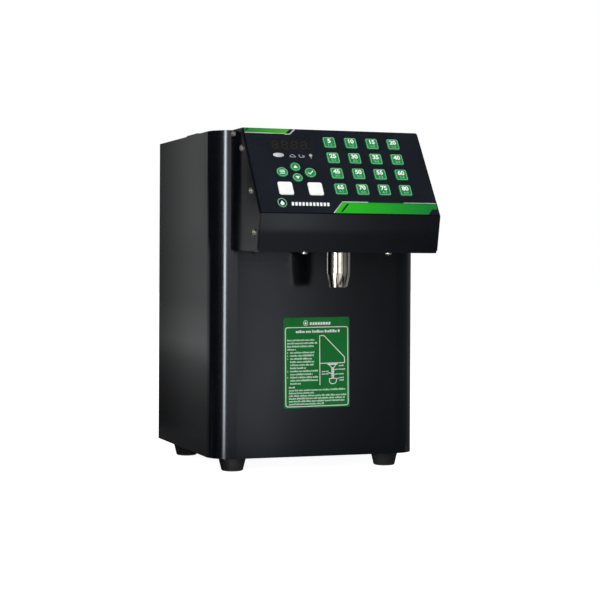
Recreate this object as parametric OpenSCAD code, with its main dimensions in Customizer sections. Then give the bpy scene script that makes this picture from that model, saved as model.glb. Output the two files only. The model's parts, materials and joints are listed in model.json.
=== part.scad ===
// Fructose dispenser: sheet-metal case with a tank, a gear pump, a sloping keypad head and a nozzle.
// Millimetres, +Z up, the front faces -Y. The origin is on the floor, under the middle of the whole machine.

/* [Case] */
// Width of the case over its side walls
body_w = 270; // [250:1:300]
// Depth of the case from its front wall to its rear edge
body_d = 262; // [245:1:290]
// Height of the case without its feet
body_h = 401; // [396:1:430]
// Outer radius of the two upright front corners
corner_r = 30; // [20:1:33]
// Thickness of the case sheet
sheet_t = 1.2; // [1:0.1:1.5]
// How far the back panel lies in from the rear edge
back_recess = 4; // [3.6:0.2:8]
// Width of the rear flanges that hold the back panel
back_flange_w = 14; // [11:1:18]
// Height of the base plate's turned-up sides
base_lip_h = 15; // [10:1:20]
// Size of the square hole behind the head for the hose
pass_w = 38; // [36:1:39]

/* [Feet] */
// Height of a foot
foot_h = 17.5; // [15:0.5:22]
// Radius of a foot at its top
foot_top_r = 17.5; // [13:0.5:19]
// Radius of a foot at the floor
foot_floor_r = 13.8; // [10:0.2:15]
// Distance from the case's sides to a front foot's axis
foot_side = 33.5; // [31:0.5:45]
// Distance from the case's front to a front foot's axis
foot_end = 30; // [28:1:45]
// Distance from the case's sides to a rear foot's axis
rear_foot_side = 24.5; // [21:0.5:45]
// Distance from the case's rear to a rear foot's axis
rear_foot_end = 55; // [32:1:60]

/* [Lid] */
// Height of the lid, and depth of the deck under the case's top edge
lid_h = 14; // [11:1:18]
// Thickness of the lid's sheet
lid_t = 1.5; // [1:0.1:2]
// Gap between the lid and the case
lid_gap = 1; // [0.6:0.1:2]
// Height of the two low grips on the lid
grip_h = 3.4; // [2.5:0.1:6]
// Width of a grip
grip_w = 8; // [6:0.5:12]
// Length of a grip
grip_l = 55; // [40:1:80]

/* [Tank] */
// Width of the tank
tank_w = 200; // [180:1:210]
// Depth of the tank under its flange
tank_h = 215; // [195:1:225]
// Outer radius of the tank's upright corners
tank_corner_r = 22; // [12:1:30]
// Thickness of the tank's sheet
tank_t = 1; // [0.8:0.1:1.5]
// Width of the flange that hangs on the deck
tank_flange_w = 10; // [6:1:11]
// Distance from the case's front to the tank
tank_front = 45; // [43:1:60]
// Distance from the back panel to the tank
tank_rear = 21.8; // [14:0.2:40]

/* [Pump] */
// Width of the pump over its short sides
pump_w = 58; // [56:1:66]
// Length of the pump between its two ports
pump_l = 50; // [48:1:54]
// Thickness of the pump's floor
pump_floor = 5; // [4:0.5:8]
// Thickness of the pump's cover
cover_t = 5; // [4:0.5:8]
// Number of teeth of each gear
teeth = 12; // [10:2:14]
// Module of the gears
gear_module = 1.5; // [1.3:0.1:1.6]
// Thickness of the gears
gear_t = 12; // [10:0.5:16]
// Radius of the gear shafts
shaft_r = 3; // [2.5:0.1:4]
// Radius of the pump motor
motor_r = 21; // [18:0.5:24]
// Length of the pump motor
motor_l = 52; // [45:1:56]
// Height of the pump bracket over the base plate
bracket_h = 66; // [62:1:72]
// Thickness of the bracket
bracket_t = 3; // [2:0.5:4]
// Length of the bracket's feet
bracket_foot_l = 18; // [14:1:24]
// Distance from the case's front to the pump's axis line
pump_y_in = 97; // [96:1:102]

/* [Hoses] */
// Inner radius of the hoses
hose_bore_r = 5; // [4.5:0.1:5.5]
// Wall of the hoses
hose_wall = 2; // [1.5:0.1:2.2]
// Radius of the hoses' bends
bend_r = 30; // [26:1:30]
// Length of the hose tails on the pump
tail_l = 18; // [12:1:18]
// Distance from the case's front to the rising hose
riser_in = 24; // [20:1:24]

/* [Head] */
// Width of the head over its side plates
head_w = 228.3; // [222:0.1:232]
// How far the head's lower edge of the slope stands out from the case
head_reach = 113.5; // [110:0.5:120]
// How far the head's flat top stands out from the case
head_top_reach = 41.6; // [38:0.1:46]
// Height of the head
head_h = 149; // [147:1:156]
// Height from the slope's lower edge to the top
head_drop = 104.3; // [102:0.1:107]
// How far the head's front bottom edge stands out from the case
head_bottom_reach = 104.2; // [101:0.1:108]
// Thickness of the side plates
side_plate_t = 1.6; // [1:0.1:2.5]
// How far a side plate stays inside the wrap's edge
side_plate_inset = 1; // [0.6:0.1:2]
// Width of the flanges under the side plates
head_flange_w = 19; // [18:1:22]
// Width of the lips along the head's bottom and rear
head_lip = 15; // [12:1:18]

/* [Nozzle] */
// Distance from the case's front to the nozzle's axis
nozzle_reach = 68; // [64:1:72]
// Outer radius of the nozzle
nozzle_r = 14.9; // [14.2:0.1:17]
// Radius of the nozzle's tip
nozzle_tip_r = 11.75; // [11:0.1:14]
// Length of the nozzle
nozzle_l = 42.9; // [40:0.1:50]
// Length of the nozzle's straight part
nozzle_straight = 25.7; // [20:0.1:28]
// Radius of the threaded stem that the nozzle screws on
stem_r = 10.5; // [9.5:0.1:11]
// Length of the threaded stem
stem_l = 15; // [12:0.5:16]
// Radius of the valve ball
ball_r = 4.5; // [4.2:0.1:5.5]
// Radius of the bore that the ball closes
seat_r = 3.5; // [3:0.1:3.8]
// Depth of the valve chamber under the stem
chamber_l = 19; // [17:0.5:22]

/* [Keypad] */
// Thickness of the membrane overlay
overlay_t = 0.8; // [0.5:0.1:1.2]
// Width of a portion key
key_w = 15.5; // [14:0.1:16.5]
// Height of a portion key
key_h = 16.2; // [14:0.1:16.5]
// Corner radius of the square keys
key_r = 2.5; // [1:0.1:4]
// Distance between columns of portion keys
key_pitch_u = 27.7; // [24:0.1:28]
// Distance between rows of portion keys
key_pitch_v = 23.4; // [21:0.1:24]
// First column, from the middle of the panel
key_first_u = -6.7; // [-8:0.1:-5]
// First row, down from the panel's top edge
key_first_v = 20.2; // [18:0.1:22]
// How far a key's face stands over the overlay
key_proud = 0.9; // [0.6:0.1:1.5]
// Travel of a key
key_travel = 0.5; // [0.3:0.05:0.6]
// Diameter of the up and down keys
arrow_d = 12.5; // [11:0.1:13]
// Diameter of the menu and enter keys
round_d = 14; // [12:0.1:15]
// Width of a white key
white_w = 17.8; // [15:0.1:19]
// Height of a white key
white_h = 18.7; // [15:0.1:19]
// Width of the display window
display_w = 50.6; // [44:0.1:54]
// Height of the display window
display_h = 16.2; // [13:0.1:18]
// Distance from the head's sheet to the circuit board
board_depth = 7.4; // [7:0.1:9]

/* [Label] */
// Width of the front label
label_w = 87; // [60:0.5:110]
// Height of the front label
label_h = 112; // [80:1:125]
// Height of the label's middle over the case's underside
label_z = 116.2; // [100:0.1:140]
// Sideways place of the label's middle
label_x = -1.6; // [-15:0.1:15]

/* [Mains] */
// Distance from the case's left side to the middle of the mains inlet
inlet_side = 65; // [50:1:75]
// Height of the inlet and switch over the case's underside
inlet_z = 62; // [50:1:90]
// Distance from the inlet to the switch
switch_step = 46; // [44:1:56]
// Tilt of the rocker to each side
rocker_tilt = 10; // [6:0.5:12]
// Width of the power supply
psu_w = 58; // [50:1:60]
// Length of the power supply
psu_l = 125; // [90:1:135]
// Height of the power supply
psu_h = 38; // [28:1:45]
// Distance from the case's front to the power supply
psu_front = 60; // [50:1:80]

/* [Hidden] */
$fn = 64;

total_d = head_reach + body_d;
front_y = head_reach - total_d / 2;
back_y = total_d / 2;
top_z = foot_h + body_h;
half_in = body_w / 2 - sheet_t;
base_t = 1.5;
base_z = foot_h + base_t;
panel_in_y = back_y - back_recess - sheet_t;
panel_out_y = back_y - back_recess;
deck_z = top_z - lid_h;
deck_t = 1.5;

running_gap = 0.05;
loose_gap = 0.3;

// Screws: one size everywhere
screw_r = 2;
screw_l = 8;
screw_head_r = 3.8;
screw_head_h = 2.2;
// Rubber left between a foot's screw head and the base plate
foot_seat = 5;

tank_l = panel_in_y - front_y - tank_front - tank_rear;
tank_y = front_y + tank_front + tank_l / 2;
tank_floor_z = deck_z - tank_h + tank_t;

pump_y = front_y + pump_y_in;
pump_z = base_z + bracket_h;
gear_pitch_r = gear_module * teeth / 2;
gear_tip_r = gear_pitch_r + 0.85 * gear_module;
gear_root_r = gear_pitch_r - 1.25 * gear_module;
gear_base_r = gear_pitch_r * cos(20);
gear_step = 2 * gear_pitch_r + 0.3;
gear_end_gap = 0.2;
gear_chamber_h = gear_t + 2 * gear_end_gap;
gear_chamber_r = gear_tip_r + loose_gap;
drive_x = -gear_step / 2;
motor_gap = 2;
bracket_half = motor_r - drive_x + motor_gap + bracket_t;
housing_h = pump_floor + gear_chamber_h;
port_z = pump_z + pump_floor + gear_chamber_h / 2;
port_r = 3.5;

hose_r = hose_bore_r + hose_wall;
tail_r = hose_bore_r - running_gap;
outlet_y = pump_y + pump_l / 2 + tail_l + bend_r;
outlet_nut_h = 7;
outlet_nut_r = 13;
outlet_flange_r = 14;
outlet_shank_r = 8;
riser_y = front_y + riser_in;

head_z = top_z - head_h;
floor_z = head_z + sheet_t;
floor_top_z = floor_z + sheet_t;
wrap_half = head_w / 2 - side_plate_t;
slope_run = head_reach - head_top_reach;
slope_l = norm([slope_run, head_drop]);
slope_angle = atan2(head_drop, slope_run);
head_outline = [
  [front_y, top_z],
  [front_y - head_top_reach, top_z],
  [front_y - head_reach, top_z - head_drop],
  [front_y - head_bottom_reach, head_z],
  [front_y, head_z]
];

nozzle_y = front_y - nozzle_reach;
stem_nut_h = 8;
stem_nut_r = 16;
stem_tail_l = 14;
hose_z = floor_top_z + stem_nut_h + stem_tail_l + bend_r;
washer_t = 1.5;
washer_r = stem_r + 2.4;
ball_z = floor_z - stem_l - sqrt(ball_r * ball_r - seat_r * seat_r) - 0.1;
chamber_top_z = floor_z - stem_l;
chamber_floor_z = chamber_top_z - chamber_l;
chamber_r = ball_r + 1.8;

board_t = 1.6;
board_left = -97;
board_right = 97;
board_top = 9;
board_bottom = 105;
switch_top = sheet_t + 2;
key_gap = 0.35;
key_flange = 1;
key_flange_t = 1;
plunger_r = 1.7;
display_u = -58.3;
display_v = 25.4;
arrow_u = -57.8;
arrow_v = 66.7;
arrow_step = 15.9;
round_v = 66.9;
menu_u = -75.6;
enter_u = -40.4;
white_v = 90.7;
white_left_u = -75.7;
white_right_u = -38.4;

inlet_x = inlet_side - body_w / 2;
inlet_w = 27.4;
inlet_h = 19.8;
inlet_l = 22;
inlet_r = 3;
inlet_wall = 1.5;
inlet_flange_w = 50;
inlet_flange_h = 24;
inlet_flange_t = 2.2;
inlet_cavity = 17;
pin_w = 2;
pin_h = 4;
pin_l = 11;
pin_step = 7;
pin_row = 2.2;
switch_w = 13;
switch_h = 20.6;
switch_l = 16;

base_lip_gap = 6;
psu_right_x = half_in - base_t - base_lip_gap;
psu_left_x = psu_right_x - psu_w;
psu_front_y = front_y + psu_front;
psu_top_z = base_z + psu_h;
ribbon_w = 12;
ribbon_t = 1.2;
ribbon_x = psu_left_x + ribbon_w + 2;
ribbon_rise = 14;
plug_v = 62;
plug = [ribbon_w + 2, 9, 8];

portion_keys = [for (row = [0:3], col = [0:3]) str("key_", 5 * (4 * row + col + 1))];

case_black = [0.11, 0.11, 0.12];
panel_black = [0.08, 0.08, 0.09];
steel = [0.75, 0.75, 0.76];
key_green = [0.02, 0.42, 0.16];
rubber_black = [0.05, 0.05, 0.05];
hose_clear = [0.85, 0.87, 0.85];
board_green = [0.05, 0.3, 0.12];

// ---------------------------------------------------------------- helpers

// The middle of portion key i on the panel: across, and down from the top edge
function portion_place(i) = [key_first_u + (i % 4) * key_pitch_u, key_first_v + floor(i / 4) * key_pitch_v];

// All key places with their half-sizes: [across, down, half width, half height, corner radius]
portion_spots = [for (i = [0:15]) concat(portion_place(i), [key_w / 2, key_h / 2, key_r])];
up_spot = [arrow_u, arrow_v - arrow_step / 2, arrow_d / 2, arrow_d / 2, arrow_d / 2];
down_spot = [arrow_u, arrow_v + arrow_step / 2, arrow_d / 2, arrow_d / 2, arrow_d / 2];
menu_spot = [menu_u, round_v, round_d / 2, round_d / 2, round_d / 2];
enter_spot = [enter_u, round_v, round_d / 2, round_d / 2, round_d / 2];
white_left_spot = [white_left_u, white_v, white_w / 2, white_h / 2, key_r];
white_right_spot = [white_right_u, white_v, white_w / 2, white_h / 2, key_r];
all_spots = concat(portion_spots,
  [up_spot, down_spot, menu_spot, enter_spot, white_left_spot, white_right_spot]);

// Corner i of an anticlockwise outline, drawn in by d on every side
function drawn_in_corner(outline, i, d) =
  let (
    n = len(outline),
    before = outline[(i + n - 1) % n],
    here = outline[i],
    after = outline[(i + 1) % n],
    u = (here - before) / norm(here - before),
    v = (after - here) / norm(after - here),
    a = [-u.y, u.x],
    b = [-v.y, v.x]
  ) here + d * (a + b) / (1 + a * b);
function drawn_in(outline, d) = [for (i = [0:len(outline) - 1]) drawn_in_corner(outline, i, d)];

// Point i of an open path, moved to the path's left by t, mitred at the turns
function left_point(path, i, t) =
  let (
    last = len(path) - 1,
    here = path[i],
    u = i > 0 ? (here - path[i - 1]) / norm(here - path[i - 1]) : (path[1] - here) / norm(path[1] - here),
    v = i < last ? (path[i + 1] - here) / norm(path[i + 1] - here) : u,
    a = [-u.y, u.x],
    b = [-v.y, v.x]
  ) here + t * (a + b) / (1 + a * b);
// The outline of a bent strip of thickness t on the left of a path
function strip(path, t) = concat(path, [for (i = [len(path) - 1:-1:0]) left_point(path, i, t)]);

// A block from its lowest to its highest corner
module block(low, high) {
  translate(low) cube(high - low);
}

// A flat rectangle with round corners, about its middle
module rounded_rect(w, h, r) {
  square([w - 2 * r, h], center = true);
  square([w, h - 2 * r], center = true);
  for (x = [-1, 1], y = [-1, 1]) translate([x * (w / 2 - r), y * (h / 2 - r)]) circle(r);
}

// A flat slot with round ends, along x about its middle
module slot(l, w) {
  square([l - w, w], center = true);
  for (x = [-1, 1]) translate([x * (l - w) / 2, 0]) circle(w / 2);
}

// The case's plan, drawn in by a distance, from the front wall back to a given line
module case_plan(inset, rear_y) {
  r = corner_r - inset;
  half = body_w / 2 - inset;
  near_y = front_y + inset;
  translate([-half, near_y + r]) square([2 * half, rear_y - near_y - r]);
  translate([-half + r, near_y]) square([2 * (half - r), r + 1]);
  for (side = [-1, 1]) translate([side * (half - r), near_y + r]) circle(r);
}

// Stands a shape drawn in (y, z) up in the machine's side plane; extrusion runs along +X
module in_side_plane() {
  rotate([90, 0, 90]) children();
}

// Moves a shape onto the sloping panel: x across, y up the slope from its top edge, z outwards
module on_panel() {
  translate([0, front_y - head_top_reach, top_z]) rotate([slope_angle, 0, 0]) children();
}

// Places a shape at a panel spot
module at_spot(spot) {
  translate([spot[0], -spot[1], 0]) children();
}

// Turns a shape so that its z points out of the back panel, at a place on the panel's outer face
module on_back(x, z) {
  translate([x, panel_out_y, z]) rotate([-90, 0, 0]) children();
}

// The outline of a key's face, grown by a distance
module spot_outline(spot, grow) {
  is_round = spot[4] == spot[2];
  if (is_round) circle(spot[2] + grow);
  else rounded_rect(2 * (spot[2] + grow), 2 * (spot[3] + grow), spot[4] + grow);
}

// A pan-head screw with a cross slot: the head's seat is at z = 0 and the shank points down
module screw() {
  difference() {
    union() {
      translate([0, 0, -screw_l]) cylinder(h = screw_l, r = screw_r);
      rotate_extrude() polygon([
        [0, 0], [screw_head_r, 0], [screw_head_r, screw_head_h - 0.9],
        [screw_head_r - 0.9, screw_head_h], [0, screw_head_h]
      ]);
    }
    for (turn = [0, 90]) rotate([0, 0, turn])
      translate([-2, -0.45, screw_head_h - 1.3]) cube([4, 0.9, 2]);
  }
}

// A screw's hole through sheet around z = 0
module screw_hole() {
  translate([0, 0, -screw_l - 1]) cylinder(h = screw_l + 2, r = screw_r);
}

// Sweeps a section along the straight ways between points in space, with a round bend at each inner point
module tube_run(points, bend) {
  last = len(points) - 1;
  ways = [for (i = [0:last - 1]) (points[i + 1] - points[i]) / norm(points[i + 1] - points[i])];
  turns = [for (i = [1:last - 1]) acos(ways[i - 1] * ways[i])];
  cuts = concat([0], [for (turn = turns) bend * tan(turn / 2)], [0]);
  for (i = [0:last - 1])
    translate(points[i] + cuts[i] * ways[i]) rotate([0, acos(ways[i].z), atan2(ways[i].y, ways[i].x)])
      linear_extrude(norm(points[i + 1] - points[i]) - cuts[i] - cuts[i + 1]) children();
  for (i = [1:last - 1]) {
    inward = (ways[i] - ways[i - 1]) / norm(ways[i] - ways[i - 1]);
    centre = points[i] + inward * bend / cos(turns[i - 1] / 2);
    x = (points[i] - cuts[i] * ways[i - 1] - centre) / bend;
    y = ways[i - 1];
    z = cross(x, y);
    multmatrix([[x.x, y.x, z.x, centre.x], [x.y, y.y, z.y, centre.y], [x.z, y.z, z.z, centre.z]])
      rotate_extrude(angle = turns[i - 1]) translate([bend, 0]) children();
  }
}

// A hose through the given (y, z) corners of the plane x = 0
module hose_run(corners) {
  tube_run([for (p = corners) [0, p.x, p.y]], bend_r) hose_section();
}
module hose_section() {
  difference() {
    circle(hose_r);
    circle(hose_bore_r);
  }
}

// A point given on the panel (across, down, outwards) as a place in the machine
function panel_point(u, v, out) = [
  u,
  front_y - head_top_reach - v * cos(slope_angle) - out * sin(slope_angle),
  top_z - v * sin(slope_angle) + out * cos(slope_angle)
];

// ---------------------------------------------------------------- screw places

foot_places = [
  for (x = [-1, 1]) [x * (body_w / 2 - foot_side), front_y + foot_end],
  for (x = [-1, 1]) [x * (body_w / 2 - rear_foot_side), back_y - rear_foot_end]
];
back_screw_places = [for (x = [-1, 1], z = [base_z + 24, (base_z + deck_z) / 2, deck_z - 24])
  [x * (half_in - back_flange_w / 2), z]];
head_front_way = (head_outline[3] - head_outline[2]) / norm(head_outline[3] - head_outline[2]);
// Side-plate screws as (y, z): by the rear top corner, twice along the slope, once along the front
head_side_places = [
  [front_y - 9.9, top_z - 5],
  [panel_point(0, 22, -11.7).y, panel_point(0, 22, -11.7).z],
  [panel_point(0, 85.8, -11.3).y, panel_point(0, 85.8, -11.3).z],
  head_outline[2] + 25.1 * head_front_way + 13.9 * [-head_front_way.y, head_front_way.x]
];
head_lip_x = 53.3;
head_lip_screw_y = front_y - head_bottom_reach + 7.7;
// The head hangs on screws through the case's front, at the floor plate and just under the deck
head_rear_x = 80;
head_low_screw_z = floor_top_z + head_lip / 2;
head_high_screw_z = deck_z - deck_t - screw_head_r - 2;
head_rear_lip = top_z - head_high_screw_z + screw_head_r + 2.5;
bracket_foot_x = bracket_half + bracket_foot_l / 2;
bracket_screw_y = pump_l / 2 - 8;
pump_corner = [pump_w / 2 - 5, pump_l / 2 - 5];

// ---------------------------------------------------------------- case

module outer_wrap() {
  color(case_black) difference() {
    union() {
      translate([0, 0, foot_h]) linear_extrude(body_h) difference() {
        case_plan(0, back_y);
        case_plan(sheet_t, back_y + 1);
      }
      for (side = [0, 1]) mirror([side, 0, 0])
        block([half_in - back_flange_w, panel_in_y - sheet_t, base_z],
          [half_in + sheet_t / 2, panel_in_y, deck_z - deck_t]);
    }
    block([-pass_w / 2, front_y - 1, hose_z - pass_w / 2],
      [pass_w / 2, front_y + sheet_t + 1, hose_z + pass_w / 2]);
    block([ribbon_x - ribbon_w / 2 - 2, front_y - 1, hose_z - ribbon_t - 2],
      [ribbon_x + ribbon_w / 2 + 2, front_y + sheet_t + 1, hose_z + 2]);
    for (p = back_screw_places) translate([p.x, panel_in_y, p.y]) rotate([-90, 0, 0]) screw_hole();
    for (x = [-1, 1], z = [head_low_screw_z, head_high_screw_z])
      translate([x * head_rear_x, front_y, z]) rotate([90, 0, 0]) screw_hole();
  }
}

module back_panel() {
  slot_column = 46;
  high_row_z = top_z - 120;
  low_row_z = foot_h + inlet_z - 15;
  color(case_black) difference() {
    block([-half_in, panel_in_y, foot_h], [half_in, panel_out_y, top_z]);
    for (column = [-1:1], row = [0:5])
      on_back(column * slot_column, high_row_z + row * vent_step) vent();
    for (column = [0, 1], row = [0:3])
      on_back(35 + column * slot_column, low_row_z + row * vent_step) vent();
    for (p = back_screw_places) translate([p.x, panel_out_y, p.y]) rotate([-90, 0, 0]) screw_hole();
    on_back(inlet_x, foot_h + inlet_z) inlet_body(0.2, 3);
    on_back(inlet_x + switch_step, foot_h + inlet_z) switch_body(0.2, 3);
  }
}

vent_l = 34;
vent_w = 4;
vent_step = 11;

// A slot through thin sheet around z = 0
module vent() {
  translate([0, 0, -sheet_t - 1]) linear_extrude(sheet_t + base_t + 2) slot(vent_l, vent_w);
}

module base_plate() {
  color(case_black) difference() {
    union() {
      translate([0, 0, foot_h]) linear_extrude(base_t) case_plan(sheet_t, panel_in_y);
      for (side = [0, 1]) mirror([side, 0, 0])
        block([half_in - base_t, front_y + corner_r, foot_h],
          [half_in, panel_in_y - sheet_t - 1, foot_h + base_lip_h]);
    }
    for (p = foot_places) translate([p.x, p.y, foot_h]) rotate([180, 0, 0]) screw_hole();
    for (x = [-1, 1], y = [-1, 1])
      translate([x * bracket_foot_x, pump_y + y * bracket_screw_y, base_z]) screw_hole();
    for (row = [0:5]) translate([0, pump_y + pump_l / 2 + 25 + row * vent_step, foot_h + sheet_t]) vent();
  }
}

module top_deck() {
  lip = 12;
  color(case_black) difference() {
    union() {
      translate([0, 0, deck_z - deck_t]) linear_extrude(deck_t) case_plan(sheet_t, panel_in_y);
      for (side = [0, 1]) mirror([side, 0, 0])
        block([half_in - deck_t, front_y + corner_r, deck_z - lip],
          [half_in, panel_in_y - sheet_t - 1, deck_z]);
    }
    translate([0, tank_y, deck_z - deck_t - 1]) linear_extrude(deck_t + 2)
      rounded_rect(tank_w + 2 * loose_gap, tank_l + 2 * loose_gap, tank_corner_r + loose_gap);
  }
}

module lid() {
  color(case_black) {
    difference() {
      translate([0, 0, deck_z]) linear_extrude(lid_h) case_plan(sheet_t + lid_gap, panel_in_y - lid_gap);
      translate([0, 0, deck_z - 1]) linear_extrude(lid_h + 1 - lid_t)
        case_plan(sheet_t + lid_gap + lid_t, panel_in_y - lid_gap - lid_t);
    }
    for (side = [-1, 1])
      translate([side * (half_in - lid_gap - grip_w / 2 - 5.8), front_y + body_d / 2, top_z])
        rotate([0, 0, 90]) linear_extrude(grip_h) slot(grip_l, grip_w);
  }
}

module feet() {
  edge = 2.5;
  recess = foot_h - foot_seat;
  color(rubber_black) for (p = foot_places) translate([p.x, p.y, 0]) difference() {
    rotate_extrude() {
      polygon([[0, 0], [foot_floor_r - edge, 0], [foot_floor_r - edge, edge], [foot_floor_r, edge],
        [foot_top_r, foot_h], [0, foot_h]]);
      translate([foot_floor_r - edge, edge]) circle(edge);
    }
    translate([0, 0, -1]) cylinder(h = foot_h + 2, r = screw_r);
    translate([0, 0, -1]) cylinder(h = recess + 1, r = screw_head_r + 0.7);
  }
}

module front_label() {
  tilt = 0.7;
  color(key_green) translate([label_x, front_y, foot_h + label_z]) rotate([90, -tilt, 0])
    linear_extrude(0.3) rounded_rect(label_w, label_h, 2.5);
}

module case_screws() {
  color(steel) {
    for (p = foot_places) translate([p.x, p.y, foot_h - foot_seat]) rotate([180, 0, 0]) screw();
    for (p = back_screw_places) translate([p.x, panel_out_y, p.y]) rotate([-90, 0, 0]) screw();
    for (p = head_side_places, side = [0, 1]) mirror([side, 0, 0])
      translate([head_w / 2, p.x, p.y]) rotate([0, 90, 0]) screw();
    for (side = [-1, 1]) translate([side * head_lip_x, head_lip_screw_y, head_z]) rotate([180, 0, 0]) screw();
    for (x = [-1, 1], z = [head_low_screw_z, head_high_screw_z])
      translate([x * head_rear_x, front_y - sheet_t, z]) rotate([90, 0, 0]) screw();
    for (x = [-1, 1], y = [-1, 1])
      translate([x * bracket_foot_x, pump_y + y * bracket_screw_y, base_z + bracket_t]) screw();
    for (x = [-1, 1], y = [-1, 1])
      translate([x * pump_corner.x, pump_y + y * pump_corner.y, pump_z + housing_h + cover_t]) screw();
  }
}

// ---------------------------------------------------------------- tank and hoses

module tank() {
  inner_r = tank_corner_r - tank_t;
  flange = 2 * tank_flange_w;
  color(steel) difference() {
    union() {
      translate([0, tank_y, deck_z - tank_h]) linear_extrude(tank_h + tank_t)
        rounded_rect(tank_w, tank_l, tank_corner_r);
      translate([0, tank_y, deck_z]) linear_extrude(tank_t)
        rounded_rect(tank_w + flange, tank_l + flange, tank_corner_r + tank_flange_w);
    }
    translate([0, tank_y, tank_floor_z]) linear_extrude(tank_h + 2)
      rounded_rect(tank_w - 2 * tank_t, tank_l - 2 * tank_t, inner_r);
    translate([0, outlet_y, tank_floor_z - tank_t - 1]) cylinder(h = tank_t + 2, r = outlet_shank_r);
  }
}
module tank_outlet() {
  nut_z = tank_floor_z - tank_t - outlet_nut_h;
  color(steel) translate([0, outlet_y, 0]) difference() {
    union() {
      translate([0, 0, tank_floor_z]) cylinder(h = 2, r = outlet_flange_r);
      translate([0, 0, nut_z]) cylinder(h = outlet_nut_h + tank_t, r = outlet_shank_r);
      translate([0, 0, nut_z]) cylinder(h = outlet_nut_h, r = outlet_nut_r, $fn = 6);
      translate([0, 0, nut_z - tail_l]) cylinder(h = tail_l, r = tail_r);
    }
    translate([0, 0, nut_z - tail_l - 1]) cylinder(h = tail_l + outlet_nut_h + 10, r = port_r);
  }
}

module suction_hose() {
  color(hose_clear) hose_run([
    [outlet_y, tank_floor_z - tank_t - outlet_nut_h],
    [outlet_y, port_z],
    [pump_y + pump_l / 2, port_z]
  ]);
}

module delivery_hose() {
  color(hose_clear) hose_run([
    [pump_y - pump_l / 2, port_z],
    [riser_y, port_z],
    [riser_y, hose_z],
    [nozzle_y, hose_z],
    [nozzle_y, floor_top_z + stem_nut_h]
  ]);
}

// ---------------------------------------------------------------- pump

// A flank point at radius r of a tooth that points along +X, above the middle line
function unrolled(r) = let (t = sqrt(pow(r / gear_base_r, 2) - 1)) t * 180 / PI - atan(t);
function flank_angle(r) = 90 / teeth - 1.1 + unrolled(gear_pitch_r) - unrolled(max(r, gear_base_r));
function polar(r, a) = [r * cos(a), r * sin(a)];
flank_steps = 5;
flank_radii = [for (i = [0:flank_steps]) gear_base_r + (gear_tip_r - gear_base_r) * i / flank_steps];

// The outline of one gear, with a tooth along +X
module gear_outline() {
  polygon([for (tooth = [0:teeth - 1], side = [-1, 1], i = [0:flank_steps + 1])
    let (
      k = side < 0 ? i : flank_steps + 1 - i,
      r = k == 0 ? gear_root_r : flank_radii[k - 1]
    ) polar(r, tooth * 360 / teeth + side * flank_angle(r))]);
}

module pump_housing() {
  color([0.55, 0.56, 0.58]) difference() {
    union() {
      translate([0, pump_y, pump_z]) linear_extrude(housing_h) rounded_rect(pump_w, pump_l, 4);
      translate([0, pump_y - pump_l / 2 - tail_l, port_z]) rotate([-90, 0, 0])
        cylinder(h = pump_l + 2 * tail_l, r = tail_r);
    }
    for (side = [-1, 1]) translate([side * gear_step / 2, pump_y, pump_z + pump_floor])
      cylinder(h = gear_chamber_h + 1, r = gear_chamber_r);
    for (side = [-1, 1]) translate([side * gear_step / 2, pump_y, pump_z - 1])
      cylinder(h = pump_floor + 2, r = shaft_r + running_gap);
    translate([0, pump_y - pump_l / 2 - tail_l - 1, port_z]) rotate([-90, 0, 0])
      cylinder(h = pump_l + 2 * tail_l + 2, r = port_r);
    for (x = [-1, 1], y = [-1, 1])
      translate([x * pump_corner.x, pump_y + y * pump_corner.y, pump_z + housing_h]) screw_hole();
  }
}

module pump_cover() {
  color([0.6, 0.61, 0.63]) difference() {
    translate([0, pump_y, pump_z + housing_h]) linear_extrude(cover_t) rounded_rect(pump_w, pump_l, 4);
    translate([-drive_x, pump_y, pump_z + housing_h - 1]) cylinder(h = cover_t, r = shaft_r + running_gap);
    for (x = [-1, 1], y = [-1, 1])
      translate([x * pump_corner.x, pump_y + y * pump_corner.y, pump_z + housing_h + cover_t]) screw_hole();
  }
}

module drive_gear() {
  color(steel) translate([drive_x, pump_y, pump_z + pump_floor + gear_end_gap]) difference() {
    linear_extrude(gear_t) gear_outline();
    translate([0, 0, -1]) cylinder(h = gear_t + 2, r = shaft_r);
  }
}

module idler_gear() {
  journal = 3.5;
  color(steel) translate([-drive_x, pump_y, pump_z + pump_floor + gear_end_gap]) {
    rotate([0, 0, 180 / teeth]) linear_extrude(gear_t) gear_outline();
    translate([0, 0, -gear_end_gap - journal])
      cylinder(h = gear_t + 2 * (gear_end_gap + journal), r = shaft_r);
  }
}

// How far the shaft goes down into the motor
shaft_in = 20;

module motor_shaft() {
  color(steel) translate([drive_x, pump_y, pump_z - bracket_t - shaft_in])
    cylinder(h = bracket_t + shaft_in + pump_floor + gear_end_gap + gear_t, r = shaft_r);
}

module pump_motor() {
  top = pump_z - bracket_t;
  cap_r = 7;
  cap_h = 3;
  color([0.3, 0.31, 0.33]) translate([drive_x, pump_y, 0]) difference() {
    union() {
      translate([0, 0, top - motor_l]) cylinder(h = motor_l, r = motor_r);
      translate([0, 0, top - motor_l - cap_h]) cylinder(h = cap_h + 1, r = cap_r);
    }
    translate([0, 0, top - shaft_in - 1]) cylinder(h = shaft_in + 2, r = shaft_r + running_gap);
  }
}

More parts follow.
